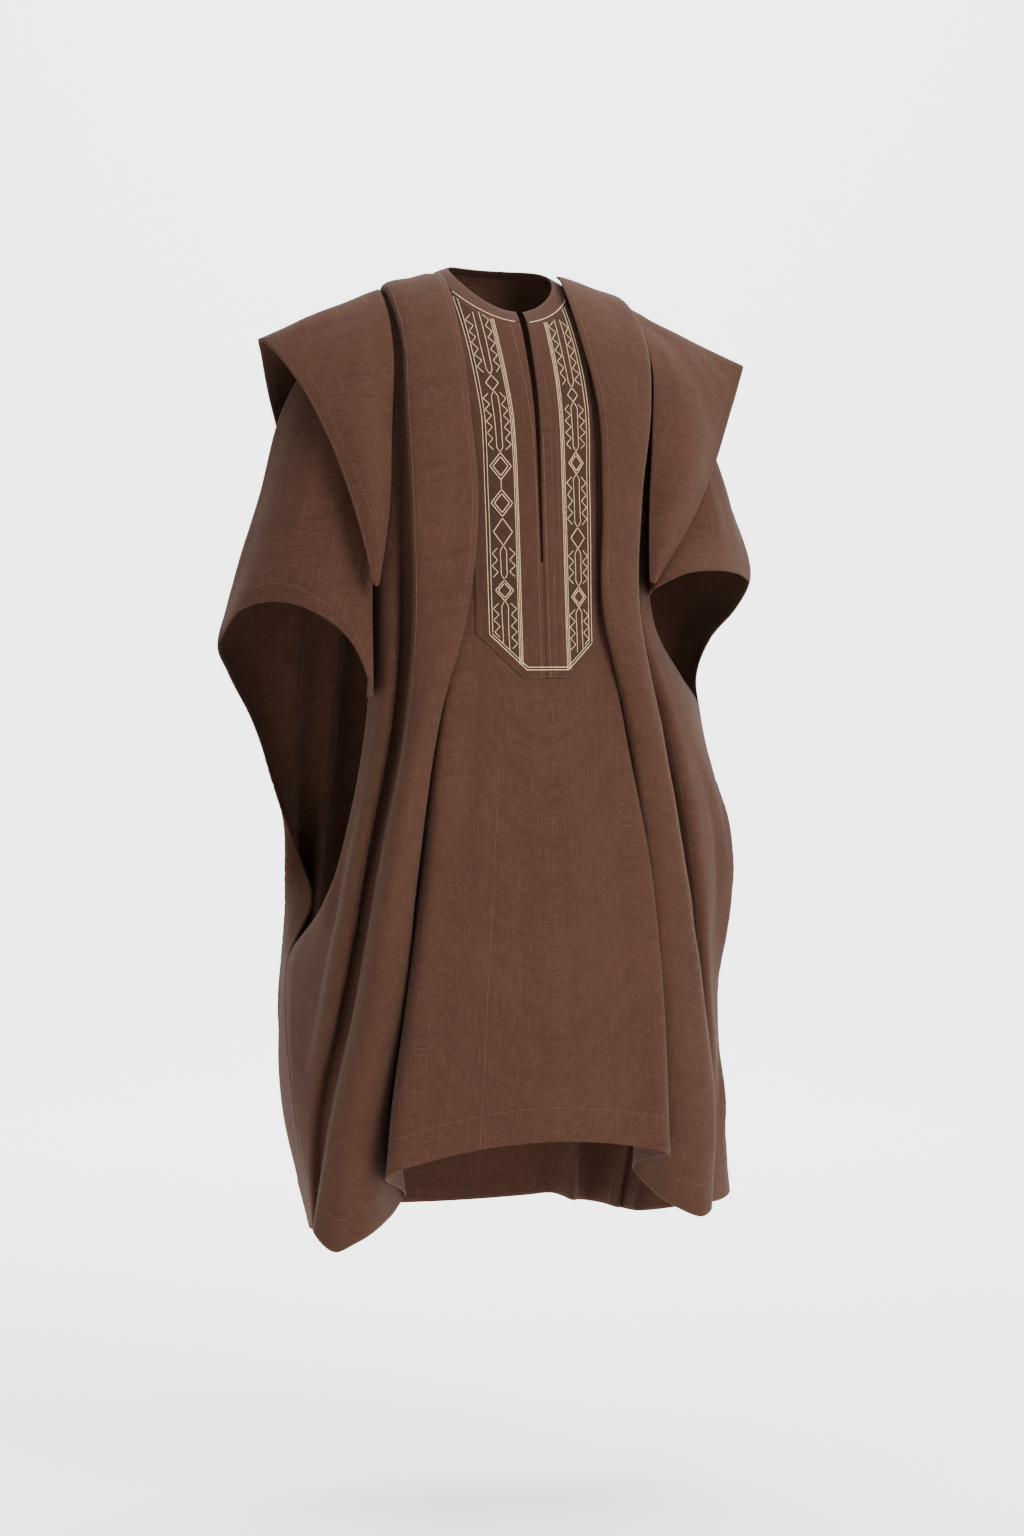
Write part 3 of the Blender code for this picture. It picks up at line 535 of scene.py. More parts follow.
# Folds pressed or pulled into the cloth: side, width, depth and points down the cloth.
frontCreases = [
    # flat front length: long soft waves that open towards the hem
    (None, 16, 2.5, (12.2, -560), (11.9, -760), (11.6, -960), (11.3, -1090)),
    (None, 14, -2.0, (14.6, -640), (14.3, -820), (14.0, -1000), (13.8, -1085)),
    (None, 15, 2.4, (18.6, -600), (19.0, -780), (19.3, -960), (19.6, -1080)),
    (None, 13, -2.7, (20.6, -560), (21.2, -740), (21.6, -940), (21.8, -1080)),
    (None, 18, 1.7, (16.2, -700), (16.6, -900), (16.8, -1075)),
    (None, 9, -2.0, (11.6, -470), (11.4, -560), (11.2, -700)),
    (None, 9, -2.0, (21.9, -470), (22.2, -580), (22.5, -700)),
    # strips that stand beside the chest panel
    ("right", 10, -2.9, ("ridge", 0.35, -120), ("ridge", 0.3, -260), ("ridge", 0.35, -420)),
    ("left", 10, -2.6, ("ridge", -0.35, -140), ("ridge", -0.3, -280), ("ridge", -0.35, -440)),
    ("right", 12, 4.0, ("ridge", -0.4, -560), ("ridge", -0.35, -800), ("ridge", -0.3, -1060)),
    ("left", 10, 3.5, ("ridge", 0.4, -560), ("ridge", 0.45, -760), ("ridge", 0.4, -1040)),
    ("right", 9, -3.7, ("ridge", 0.45, -520), ("ridge", 0.4, -700), ("ridge", 0.5, -860)),
    # the slack between strip and side
    ("right", 9, -4.0, ("shade", 0.3, -300), ("shade", 0.4, -520), ("shade", 0.3, -760)),
    ("right", 10, 4.2, ("second", 0.4, -420), ("second", 0.3, -640), ("second", 0.4, -900)),
    ("right", 13, -4.8, ("secondEdge", -0.4, -640), ("pocket", 0, -820), ("pocket", 0.2, -1010)),
    ("left", 10, 4.0, ("second", -0.4, -560), ("second", -0.3, -700), ("second", -0.4, -900)),
    ("left", 12, -5.7, ("secondEdge", 0.2, -600), ("secondEdge", 0.4, -720), ("secondEdge", 0.1, -850)),
    ("left", 10, 4.8, ("pocket", 0.4, -640), ("pocket", 0.1, -760), ("secondEdge", 0.5, -900)),
    ("left", 12, -5.3, ("pocket", 0.6, -800), ("pocket", 0.1, -900), ("second", 0.6, -1060)),
    ("left", 12, 4.8, ("secondEdge", 0.5, -940), ("secondEdge", 0.3, -1040), ("second", 0.6, -1130)),
]
backCreases = [
    ("right", 17, 4.2, ("panelEdge", 1.2, -420), ("panelEdge", 1.0, -700), ("panelEdge", 0.8, -1120)),
    ("right", 18, -3.5, ("panelEdge", 2.8, -300), ("panelEdge", 2.9, -620), ("panelEdge", 2.6, -1060)),
    ("left", 17, 4.0, ("panelEdge", -1.4, -360), ("panelEdge", -1.2, -720), ("panelEdge", -0.9, -1140)),
    ("left", 20, -3.3, ("panelEdge", -3.0, -420), ("panelEdge", -3.2, -760), ("panelEdge", -2.8, -1100)),
    ("right", 21, 2.6, ("panelEdge", 4.6, -160), ("panelEdge", 4.4, -420), ("panelEdge", 4.7, -760)),
    ("right", 10, -3.3, ("ridge", 0.35, -240), ("ridge", 0.3, -560), ("ridge", 0.4, -980)),
    ("left", 10, -3.3, ("ridge", -0.35, -300), ("ridge", -0.4, -640), ("ridge", -0.3, -1040)),
    ("right", 12, 4.2, ("second", -0.4, -360), ("second", -0.3, -700), ("second", -0.4, -1100)),
    ("left", 12, 4.2, ("second", 0.4, -420), ("second", 0.5, -760), ("second", 0.3, -1120)),
    # side lengths of the sleeve backs
    ("right", 14, -5.3, ("side", 0.3, -180), ("side", 0.1, -330), ("back", 0.4, -500)),
    ("right", 14, 5.3, ("side", 0.5, -560), ("side", 0.2, -760), ("side", 0.5, -980)),
    ("right", 13, -4.4, ("back", 0.4, -620), ("back", 0.2, -840), ("back", 0.3, -1120)),
    ("right", 14, -4.8, ("mouth", 0.6, -860), ("side", 0.3, -980), ("side", 0, -1150)),
    ("left", 14, -5.3, ("side", -0.3, -170), ("side", -0.1, -300), ("back", -0.4, -470)),
    ("left", 14, 5.3, ("side", -0.5, -540), ("side", -0.3, -740), ("side", -0.5, -960)),
    ("left", 13, -4.4, ("back", -0.4, -600), ("back", -0.2, -860), ("back", -0.4, -1140)),
    ("left", 14, -5.7, ("mouth", -0.5, -620), ("side", -0.1, -760), ("mouth", -0.5, -900)),
]


def shaped(grid, normal, relief):
    return grid + normal * relief[..., None]


def calmed(at, places, amount):
    # the flat middle of a length waves less than its sides
    start, stop = places["panelEdge", "right"], places["panelEdge", "left"]
    inside = smooth((at - start + 1) / 1.5) * smooth((stop + 1 - at) / 1.5)
    return (1 - (1 - amount) * inside)[None, :]


frontNormal = -gridNormals(front)
backNormal = gridNormals(back)
for normals, grid in ((frontNormal, front), (backNormal, back)):
    normals[0, np.abs(grid[0, :, 1]) < 1e-6, 1] = 0
frontNormal, backNormal = unit(frontNormal), unit(backNormal)
relief = waviness(front, 3.1, calmed(frontAt, frontPlace, 0.45))
for side, width, depth, *path in frontCreases:
    relief += crease(front, frontAt, placed(side, path, frontPlace), width, depth)
seams = [frontColumn("seam", "right"), frontColumn("seam", "left")]
for column in seams:
    relief += seamDip(front, column)
backRelief = waviness(back, 17.3, calmed(backAt, backPlace, 0.6))
for side, width, depth, *path in backCreases:
    backRelief += crease(back, backAt, placed(side, path, backPlace), width, depth)
for key in ("seam", "pocket"):
    for which in ("right", "left"):
        backRelief += seamDip(back, backColumn(key, which))
print("creases laid:", len(frontCreases) + len(backCreases))


def matchEdges():
    # both sides of the top seams and side seams lean the same way
    for which, edge in (("right", 0), ("left", -1)):
        grid, at = sleeves[which]
        normal = gridNormals(grid)
        count = len(grid)
        if np.sum(normal[:, -1] * backNormal[:count, edge]) < 0:
            normal = -normal
        shared = unit(normal[:, -1] + backNormal[:count, edge])
        normal[:, -1] = backNormal[:count, edge] = shared
        sleeves[which] = (grid, at, normal)
        row = rowOf(mouthFoot[which][1])
        shared = unit(frontNormal[row:, edge] + backNormal[row:, edge])
        frontNormal[row:, edge] = backNormal[row:, edge] = shared
        backRelief[:count, edge] = 0
        backRelief[row:, edge] = 0
        relief[row:, edge] = 0


matchEdges()
fade = np.concatenate((np.zeros(1), np.ones(rowTotal - 1)))[:, None]
front = shaped(front, frontNormal, relief * fade)
back = shaped(back, backNormal, backRelief * fade)


# cloth, thread and floor finishes
clothLook = {
    "base": (0.0440, 0.0175, 0.0101), "dark": (0.0240, 0.0088, 0.0049), "light": (0.082, 0.0355, 0.0215),
    "slubLength": 0.034, "slubWidth": 0.0011, "thread": 0.00062,
    "bump": 0.42, "rough": 0.92, "sheen": 0.05,
}


def nodeTree(name):
    material = bpy.data.materials.new(name)
    material.use_nodes = True
    tree = material.node_tree
    return material, tree, tree.nodes["Principled BSDF"]


def link(tree, start, end):
    tree.links.new(start, end)


def mathNode(tree, kind, first, second=None):
    node = tree.nodes.new("ShaderNodeMath")
    node.operation = kind
    for socket, value in zip(node.inputs, (first, second)):
        if isinstance(value, (int, float)):
            socket.default_value = value
        elif value is not None:
            link(tree, value, socket)
    return node.outputs[0]


def mixColour(tree, factor, first, second, blend="MIX"):
    node = tree.nodes.new("ShaderNodeMix")
    node.data_type = "RGBA"
    node.blend_type = blend
    for number, value in ((0, factor), (6, first), (7, second)):
        socket = node.inputs[number]
        if isinstance(value, (int, float)):
            socket.default_value = value
        elif isinstance(value, tuple):
            socket.default_value = (*value, 1)
        else:
            link(tree, value, socket)
    return node.outputs[2]


def settle(node, values):
    for name, value in values.items():
        node.inputs[name].default_value = value


def noiseNode(tree, vector, size, detail=2.0, rough=0.5, stretch=(1, 1, 1), move=(0, 0, 0)):
    place = tree.nodes.new("ShaderNodeMapping")
    settle(place, {"Scale": stretch, "Location": move})
    link(tree, vector, place.inputs["Vector"])
    node = tree.nodes.new("ShaderNodeTexNoise")
    settle(node, {"Scale": size, "Detail": detail, "Roughness": rough})
    link(tree, place.outputs[0], node.inputs["Vector"])
    return node.outputs["Fac"]


def band(tree, value, low, high):
    node = tree.nodes.new("ShaderNodeMapRange")
    node.interpolation_type = "SMOOTHSTEP"
    settle(node, {"From Min": low, "From Max": high})
    link(tree, value, node.inputs["Value"])
    return node.outputs[0]


def scaled(tree, value, amount):
    return mathNode(tree, "MULTIPLY", value, amount)


def bumped(tree, shader, height, strength, distance):
    bump = tree.nodes.new("ShaderNodeBump")
    settle(bump, {"Strength": strength, "Distance": distance})
    link(tree, height, bump.inputs["Height"])
    link(tree, bump.outputs[0], shader.inputs["Normal"])


def clothMaterial(name, look, tint=1.0):
    material, tree, shader = nodeTree(name)
    coordinates = tree.nodes.new("ShaderNodeTexCoord")
    flat, solid = coordinates.outputs["UV"], coordinates.outputs["Object"]
    long, thin = 1 / look["slubLength"], 1 / look["slubWidth"]
    weft = noiseNode(tree, flat, 1.0, stretch=(long, thin, 1))
    warp = noiseNode(tree, flat, 1.0, stretch=(thin, long * 0.8, 1), move=(3.1, 7.7, 0))
    weftFine = noiseNode(tree, flat, 1.0, 1.0, 0.5, (long * 3, thin * 1.6, 1), (1.7, 2.9, 0))
    warpFine = noiseNode(tree, flat, 1.0, 1.0, 0.5, (thin * 1.6, long * 3, 1), (5.7, 0.4, 0))
    broad = noiseNode(tree, solid, 5.0)
    bars = noiseNode(tree, flat, 1.0, 1.0, 0.5, (2.0, 55.0, 1), (9.2, 4.4, 0))
    shade, dark, light = (tuple(v * tint for v in look[key]) for key in ("base", "dark", "light"))
    for value, low, high, amount, colour in (
            (weft, 0.50, 0.70, 0.75, dark), (warp, 0.55, 0.74, 0.60, light),
            (weftFine, 0.52, 0.70, 0.50, light), (warpFine, 0.52, 0.72, 0.50, dark),
            (broad, 0.35, 0.70, 0.16, light), (bars, 0.45, 0.75, 0.14, dark)):
        shade = mixColour(tree, scaled(tree, band(tree, value, low, high), amount), shade, colour)
    link(tree, shade, shader.inputs["Base Color"])
    split = tree.nodes.new("ShaderNodeSeparateXYZ")
    link(tree, flat, split.inputs[0])
    turns = 2 * math.pi / look["thread"]
    overU, overV = (mathNode(tree, "SINE", scaled(tree, split.outputs[axis], turns)) for axis in "XY")
    lift = scaled(tree, mathNode(tree, "MULTIPLY", overU, overV), 0.22)
    fine = mathNode(tree, "ADD", weftFine, warpFine)
    for value, amount in ((weft, 1.0), (warp, 0.9), (fine, 0.6)):
        lift = mathNode(tree, "ADD", lift, scaled(tree, value, amount))
    bumped(tree, shader, lift, look["bump"], 0.00045)
    dull = mathNode(tree, "ADD", scaled(tree, broad, 0.12), look["rough"] - 0.06)
    link(tree, dull, shader.inputs["Roughness"])
    settle(shader, {"Specular IOR Level": 0.16, "Sheen Weight": look["sheen"], "Sheen Roughness": 0.55,
                    "Sheen Tint": (0.85, 0.62, 0.50, 1)})
    return material


brownCloth = clothMaterial("brown slub cloth", clothLook)
bandCloth = clothMaterial("neck band cloth", clothLook, 0.86)
panelCloth = clothMaterial("chest panel cloth", clothLook, 0.9)
columnLook = dict(clothLook, base=(0.0300, 0.0130, 0.0067), dark=(0.018, 0.0078, 0.0040),
                  light=(0.046, 0.0215, 0.0118))
columnCloth = clothMaterial("braid ground cloth", columnLook)


def threadMaterial(name, colour, worn, rough, sheen):
    material, tree, shader = nodeTree(name)
    coordinates = tree.nodes.new("ShaderNodeTexCoord")
    patchy = noiseNode(tree, coordinates.outputs["Object"], 260.0, 2.0, 0.6)
    strand = noiseNode(tree, coordinates.outputs["Object"], 1500.0, 1.0, 0.5)
    shade = mixColour(tree, band(tree, patchy, 0.35, 0.75), colour, worn)
    shade = mixColour(tree, scaled(tree, strand, 0.35), shade, worn)
    link(tree, shade, shader.inputs["Base Color"])
    bumped(tree, shader, strand, 0.5, 0.0002)
    dull = mathNode(tree, "ADD", scaled(tree, patchy, 0.2), rough - 0.1)
    link(tree, dull, shader.inputs["Roughness"])
    settle(shader, {"Sheen Weight": sheen, "Specular IOR Level": 0.45})
    return material


goldThread = threadMaterial("pale gold thread", (0.70, 0.50, 0.32), (0.44, 0.29, 0.165), 0.5, 0.12)
seamThread = threadMaterial("light brown stitching", (0.100, 0.052, 0.034), (0.060, 0.029, 0.019), 0.8, 0.05)
paleThread = threadMaterial("pale topstitching", (0.21, 0.130, 0.088), (0.11, 0.062, 0.040), 0.75, 0.05)
print("finishes mixed")


# meshes
def makeObject(name, points, faces, material, uv=None):
    mesh = bpy.data.meshes.new(name)
    mesh.from_pydata([tuple(p) for p in np.asarray(points) / 1000], [], faces)
    if uv is not None:
        layer = mesh.uv_layers.new(name="UVMap")
        index = np.zeros(len(mesh.loops), int)
        mesh.loops.foreach_get("vertex_index", index)
        layer.data.foreach_set("uv", (np.asarray(uv)[index] / 1000).ravel())
    mesh.shade_smooth()
    mesh.materials.append(material)
    piece = bpy.data.objects.new(name, mesh)
    bpy.context.scene.collection.objects.link(piece)
    return piece


def clothShell(grid, normal, skip=None, wall=None, inside=None):
    # two skins of cloth joined along every open edge; inside thickens the inner one
    wall = robe["wall"] if wall is None else wall
    rows, cols = grid.shape[:2]
    extra = np.zeros((rows, cols)) if inside is None else inside
    outer = grid + normal * wall / 2
    inner = grid - normal * (wall / 2 + extra)[..., None]
    u, v = arcs(grid, 1), arcs(grid, 0)
    u = u - u[:, cols // 2:cols // 2 + 1]
    uv = np.stack((u, -v), -1).reshape(-1, 2)
    points = np.concatenate((outer.reshape(-1, 3), inner.reshape(-1, 3)))
    total = rows * cols
    r, c = np.meshgrid(range(rows - 1), range(cols - 1), indexing="ij")
    keep = np.ones_like(r, bool) if skip is None else ~skip
    r, c = r[keep], c[keep]
    a, b, d, e = r * cols + c, r * cols + c + 1, (r + 1) * cols + c, (r + 1) * cols + c + 1
    middle = len(a) // 2
    p = outer.reshape(-1, 3)
    facing = np.cross(p[e[middle]] - p[a[middle]], p[b[middle]] - p[d[middle]])
    if facing @ normal.reshape(-1, 3)[a[middle]] < 0:
        a, b, d, e = b, a, e, d
    quads = np.stack((a, d, e, b), -1)
    edges = np.concatenate([quads[:, [k, (k + 1) % 4]] for k in range(4)])
    keys = {tuple(edge) for edge in edges.tolist()}
    rims = [(q, p, p + total, q + total) for p, q in keys if (q, p) not in keys]
    faces = quads.tolist() + (quads[:, ::-1] + total).tolist() + sorted(rims)
    used = np.zeros(2 * total, bool)
    used[np.array(faces).ravel()] = True
    number = np.cumsum(used) - 1
    faces = number[np.array(faces)].tolist()
    return points[used], faces, np.concatenate((uv, uv))[used]


def joined(shells):
    # several shells as one mesh
    points, faces, uvs = [], [], []
    for places, quads, uv in shells:
        start = sum(len(p) for p in points)
        faces += [tuple(i + start for i in face) for face in quads]
        points.append(places)
        uvs.append(uv)
    return np.concatenate(points), faces, np.concatenate(uvs)


def clothPiece(name, node, shell, flat, held, restsOn, material=brownCloth):
    points, faces, uv = shell
    piece = makeObject(name, points, faces, material, uv)
    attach(piece, "root")
    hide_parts(node)
    sheets.append((piece, flat, held, restsOn))


def hemTurn(grid, depth, edge="bottom"):
    # how much thicker the cloth is where it is turned in at an edge
    down, over = arcs(grid, 0), arcs(grid, 1)
    away = {"bottom": down[-1] - down, "first": over, "last": over[:, -1:] - over}[edge]
    return smooth((depth - away) / 2.5) * robe["hemTurn"]


sheets = []
hems = {"front": 42, "side": 26, "mouth": 23, "wing": 20}     # mm turned in at each edge
stitches = {"stitch": 2.6, "gap": 1.5, "width": 0.55, "height": 0.26}
threadSets = {}


def lineAt(grid, normal, inset, edge):
    # a line on the cloth, inset mm from an edge
    rows, cols = grid.shape[:2]
    if edge == "bottom":
        down = arcs(grid, 0)
        place = [np.interp(down[-1, c] - inset, down[:, c], range(rows)) for c in range(cols)]
        where = (np.array(place), np.arange(cols))
    else:
        over = arcs(grid, 1)
        place = [np.interp(over[r, -1] - inset if edge == "last" else inset, over[r], range(cols))
                 for r in range(rows)]
        where = (np.arange(rows), np.array(place))
    return gridAt(grid, *where), unit(gridAt(normal, *where))


def lineBeside(grid, normal, column, offset, startRow=0, stopRow=None):
    # a line that runs down the cloth, offset mm from a fold
    over = arcs(grid, 1)
    rows = np.arange(startRow, len(grid) if stopRow is None else stopRow)
    place = np.array([np.interp(over[r, column] + offset, over[r], range(grid.shape[1])) for r in rows])
    return gridAt(grid, rows, place), unit(gridAt(normal, rows, place))


def resample(points, normals, step):
    along = np.concatenate(([0], np.cumsum(np.linalg.norm(np.diff(points, axis=0), axis=1))))
    at = np.arange(0, along[-1], step)
    points, normals = (np.stack([np.interp(at, along, values[:, k]) for k in range(3)], -1)
                       for values in (points, normals))
    return points, unit(normals)


def sew(kind, points, normals, lift=robe["wall"] / 2, **sizes):
    # a row of stitches along a line on the cloth, kept for one joined mesh
    stitch, gap, width, height = dict(stitches, **sizes).values()
    fine, up = resample(points, normals, 0.5)
    store = threadSets.setdefault(kind, ([], []))
    pitch, size = int(round((stitch + gap) / 0.5)), int(round(stitch / 0.5))
    for s in range(0, len(fine) - size, pitch):
        a, b, n = fine[s] + up[s] * lift, fine[s + size] + up[s + size] * lift, up[s]
        along = b - a
        side = np.cross(n, along)
        side /= max(np.linalg.norm(side), 1e-9)
        start = len(store[0])
        store[0].append(a - n * 0.1)
        for t in (0.2, 0.8):
            m = a + along * t
            store[0].extend((m + side * width / 2, m + n * height, m - side * width / 2, m - n * 0.15))
        store[0].append(b - n * 0.1)
        for k in range(4):
            j = (k + 1) % 4
            store[1].append((start, start + 1 + k, start + 1 + j))
            store[1].append((start + 1 + k, start + 5 + k, start + 5 + j, start + 1 + j))
            store[1].append((start + 9, start + 5 + j, start + 5 + k))


def cordRun(kind, points, normals, width, height, twist=1.7, sides=6, step=0.9):
    # one laid thread: a flattened round that swells and narrows with its twist
    fine, up = resample(points, normals, step)
    if len(fine) < 3:
        return
    store = threadSets.setdefault(kind, ([], []))
    along = unit(np.gradient(fine, axis=0))
    side = unit(np.cross(up, along))
    start, last = len(store[0]), len(fine) - 1
    for k, (p, n, b) in enumerate(zip(fine, up, side)):
        swell = 1 + 0.15 * math.sin(2 * math.pi * k * step / twist)
        swell *= 0.35 if k in (0, last) else 1
        for q in range(sides):
            a = 2 * math.pi * q / sides
            store[0].append(p + n * (height * 0.35 + math.sin(a) * height * 0.65 * swell)
                            + b * math.cos(a) * width / 2 * swell)
    for k in range(last):
        for q in range(sides):
            j = (q + 1) % sides
            a, b = start + k * sides, start + (k + 1) * sides
            store[1].append((a + q, b + q, b + j, a + j))
    store[1].append(tuple(start + q for q in range(sides)))
    store[1].append(tuple(start + last * sides + q for q in reversed(range(sides))))


frontNormal = -gridNormals(front)
cutRight, cutLeft = seams
slitRight, slitLeft = columnOf(frontAt, slitPlace), columnOf(frontAt, slitPlace + 1)
centre, centreNormal = front[:, cutRight:cutLeft + 1], frontNormal[:, cutRight:cutLeft + 1]
slitOpen = np.zeros((centre.shape[0] - 1, centre.shape[1] - 1), bool)
slitOpen[:rowOf(robe["slitEnd"]), slitRight - cutRight:slitLeft - cutRight] = True
turned = hemTurn(centre, hems["front"])
clothPiece("centreFront", "centre_front", clothShell(centre, centreNormal, slitOpen, inside=turned),
           (0.66, 1.19), "hung", ["neckBand", "sideFrontRight", "sideFrontLeft"])
for name, node, cut, flat in (
        ("sideFrontRight", "side_front_right", slice(0, cutRight + 1), (0.10, 1.2)),
        ("sideFrontLeft", "side_front_left", slice(cutLeft, None), (0.13, 1.2))):
    grid, normal = front[:, cut], frontNormal[:, cut]
    turned = hemTurn(grid, hems["side"])
    clothPiece(name, node, clothShell(grid, normal, inside=turned), flat, "hung", ["centreFront"])

# the back's outer edges keep the lean they share with the sleeve fronts and the front
sideNormals = backNormal[:, 0], backNormal[:, -1]
backNormal = gridNormals(back)
backNormal[:, 0], backNormal[:, -1] = sideNormals
# the open edge and rows of each sleeve mouth
mouths = {"sleeveBackRight": ("first", slice(sleeveRows["right"], rowOf(mouthFoot["right"][1]))),
          "sleeveBackLeft": ("last", slice(sleeveRows["left"], rowOf(mouthFoot["left"][1])))}
cuts = [0, backColumn("pocket", "right"), backColumn("seam", "right"),
        backColumn("seam", "left"), backColumn("pocket", "left"), back.shape[1] - 1]
lengths = (("sleeveBackRight", "sleeve_back_right", (0.13, 1.24)),
           ("sideBackRight", "side_back_right", (0.065, 1.24)),
           ("centreBack", "centre_back", (0.49, 1.25)),
           ("sideBackLeft", "side_back_left", (0.065, 1.24)),
           ("sleeveBackLeft", "sleeve_back_left", (0.145, 1.24)))
for (name, node, flat), start, stop in zip(lengths, cuts[:-1], cuts[1:]):
    grid, normal = back[:, start:stop + 1], backNormal[:, start:stop + 1]
    turned = hemTurn(grid, hems["side"])
    if name in mouths:
        edge, rowsOpen = mouths[name]
        mouth = hemTurn(grid, hems["mouth"], edge)
        turned[rowsOpen] = np.maximum(turned[rowsOpen], mouth[rowsOpen])
        points, normals = lineAt(grid, normal, hems["mouth"], edge)
        sew("seamStitches", points[rowsOpen], normals[rowsOpen])
    clothPiece(name, node, clothShell(grid, normal, inside=turned), flat, "hung", ["neckBand"])

sleeveFronts = {
    "right": {"name": "sleeveFrontRight", "flat": (0.17, 0.46), "restsOn": ["sleeveBackRight"],
              "trough": ((0.9, -150), (1.6, -280), (2.2, -420), (2.4, -470)),
              "ridge": ((2.4, -140), (3.0, -260), (3.4, -390))},
    "left": {"name": "sleeveFrontLeft", "flat": (0.16, 0.34), "restsOn": ["sleeveBackLeft"],
             "trough": ((1.2, -150), (1.9, -240), (2.6, -330)),
             "ridge": ((2.6, -180), (3.1, -270), (3.4, -350))},
}
for which, sleeve in sleeveFronts.items():
    grid, at, normal = sleeves[which]
    wave = waviness(grid, 31.0 + len(which))
    wave *= smooth((at - 0.2) / 0.8)[None, :] * smooth((at[-1] - at) / 0.8)[None, :]
    wave += crease(grid, at, sleeve["trough"], 15, -4.2, 1.2)
    wave += crease(grid, at, sleeve["ridge"], 12, 2.6, 1.2)
    grid = shaped(grid, normal, wave)
    turned = hemTurn(grid, hems["mouth"])
    clothPiece(sleeve["name"], "sleeve_front_" + which, clothShell(grid, normal, inside=turned),
               sleeve["flat"], "hung", sleeve["restsOn"])
    sew("seamStitches", *lineAt(grid, normal, hems["mouth"], "bottom"))
print("lengths and sleeves sewn")

# shoulder wings: creases are width, depth and (table row, table column) points
wings = {
    "rows": 150, "cols": 34, "edgeStitch": 2.6,
    "right": {"name": "wingRight", "table": wingRight, "flat": (0.11, 0.62), "creases": (
        (16, -2.2, (5.2, 0.3), (4.2, 1.0), (3.0, 1.5)), (14, 2.0, (4.6, 0.25), (3.0, 0.7), (1.6, 0.9)),
        (16, -2.2, (5.4, 0.3), (6.6, 1.0), (7.8, 1.4)), (12, 1.2, (5.0, 1.1), (4.4, 1.6), (3.8, 1.9)))},
    "left": {"name": "wingLeft", "table": wingLeft, "flat": (0.12, 0.62), "creases": (
        (16, -2.2, (5.5, 0.3), (4.4, 1.0), (3.4, 1.5)), (14, 2.0, (4.8, 0.25), (3.2, 0.8), (2.0, 1.0)),
        (16, -2.2, (5.8, 0.3), (7.0, 1.0), (8.4, 1.4)), (12, 1.2, (5.4, 1.1), (4.8, 1.6), (4.2, 1.9)))},
}
for which in ("right", "left"):
    wing = wings[which]
    rows = np.array(wing["table"], float)
    down = np.linspace(0, len(rows) - 1, wings["rows"])
    lines = [curve(rows[:, c], down) for c in range(3)]
    over = np.linspace(0, 2, wings["cols"])
    grid = np.array([curve([line[r] for line in lines], over) for r in range(len(down))])
    normal = gridNormals(grid)
    topRow = len(down) // 2
    if normal[topRow, -3, 2] < 0:
        normal = -normal
    lift = waviness(grid, 45.0 + len(which)) * 0.7
    for width, depth, *path in wing["creases"]:
        fine = np.linspace(0, len(path) - 1, 30)
        rc = curve([(a, b, 0) for a, b in path], fine)
        line = gridAt(grid, rc[:, 0] / down[-1] * (len(down) - 1), rc[:, 1] / 2 * (len(over) - 1))
        gap = np.sqrt(((grid[:, :, None] - line[None, None]) ** 2).sum(-1))
        t = gap.argmin(-1) / (len(line) - 1)
        lift += depth * np.sin(math.pi * t) ** 0.6 * np.exp(-(gap.min(-1) / (width * (0.7 + 0.5 * t))) ** 2)
    grid = shaped(grid, normal, lift)
    before, normal = normal[topRow, -3], gridNormals(grid)
    if normal[topRow, -3] @ before < 0:
        normal = -normal
    turned = hemTurn(grid, hems["wing"], "last")
    clothPiece(wing["name"], "wing_" + which, clothShell(grid, normal, inside=turned),
               wing["flat"], "draped", ["centreFront", "centreBack"])
    for inset in (hems["wing"], wings["edgeStitch"]):
        points, normals = lineAt(grid, normal, inset, "last")
        sew("seamStitches", points[6:-6], normals[6:-6])

# neck band, closed on a slit at the front
neck = {"wall": 2.0, "lift": 0.8, "overlap": 1.6, "turn": 1.8}
angles = np.arange(0, 360.01, neck["turn"])
radii = np.linspace(robe["neckInner"], robe["neckOuter"] + neck["overlap"], 9)
ends = (robe["slitX"] + robe["slitTop"] / 2, robe["slitX"] - robe["slitTop"] / 2)
pull = 14       # degrees each side of the front over which the band runs to the slit
ring = []
for radius in radii:
    line = np.array([neckPoint(radius, a) for a in angles])
    far = radius * math.sin(math.radians(pull))
    toLeft, toRight = angles < pull, angles > 360 - pull
    line[toLeft, 0] = ends[0] + (far - ends[0]) * angles[toLeft] / pull
    line[toRight, 0] = ends[1] + (-far - ends[1]) * (360 - angles[toRight]) / pull
    ring.append(line)
ring = np.array(ring)
ringNormal = gridNormals(ring)
ringNormal *= 1 if ringNormal[4, 60, 2] > 0 else -1
dome = 0.5 * np.sin(np.linspace(0, math.pi, len(radii)))[:, None]
ring = ring + ringNormal * (neck["lift"] + dome)[..., None]
clothPiece("neckBand", "neck_band", clothShell(ring, ringNormal, wall=neck["wall"]),
           (0.021, 0.52), "stretched", ["centreFront", "centreBack"], bandCloth)
print("neck band set")

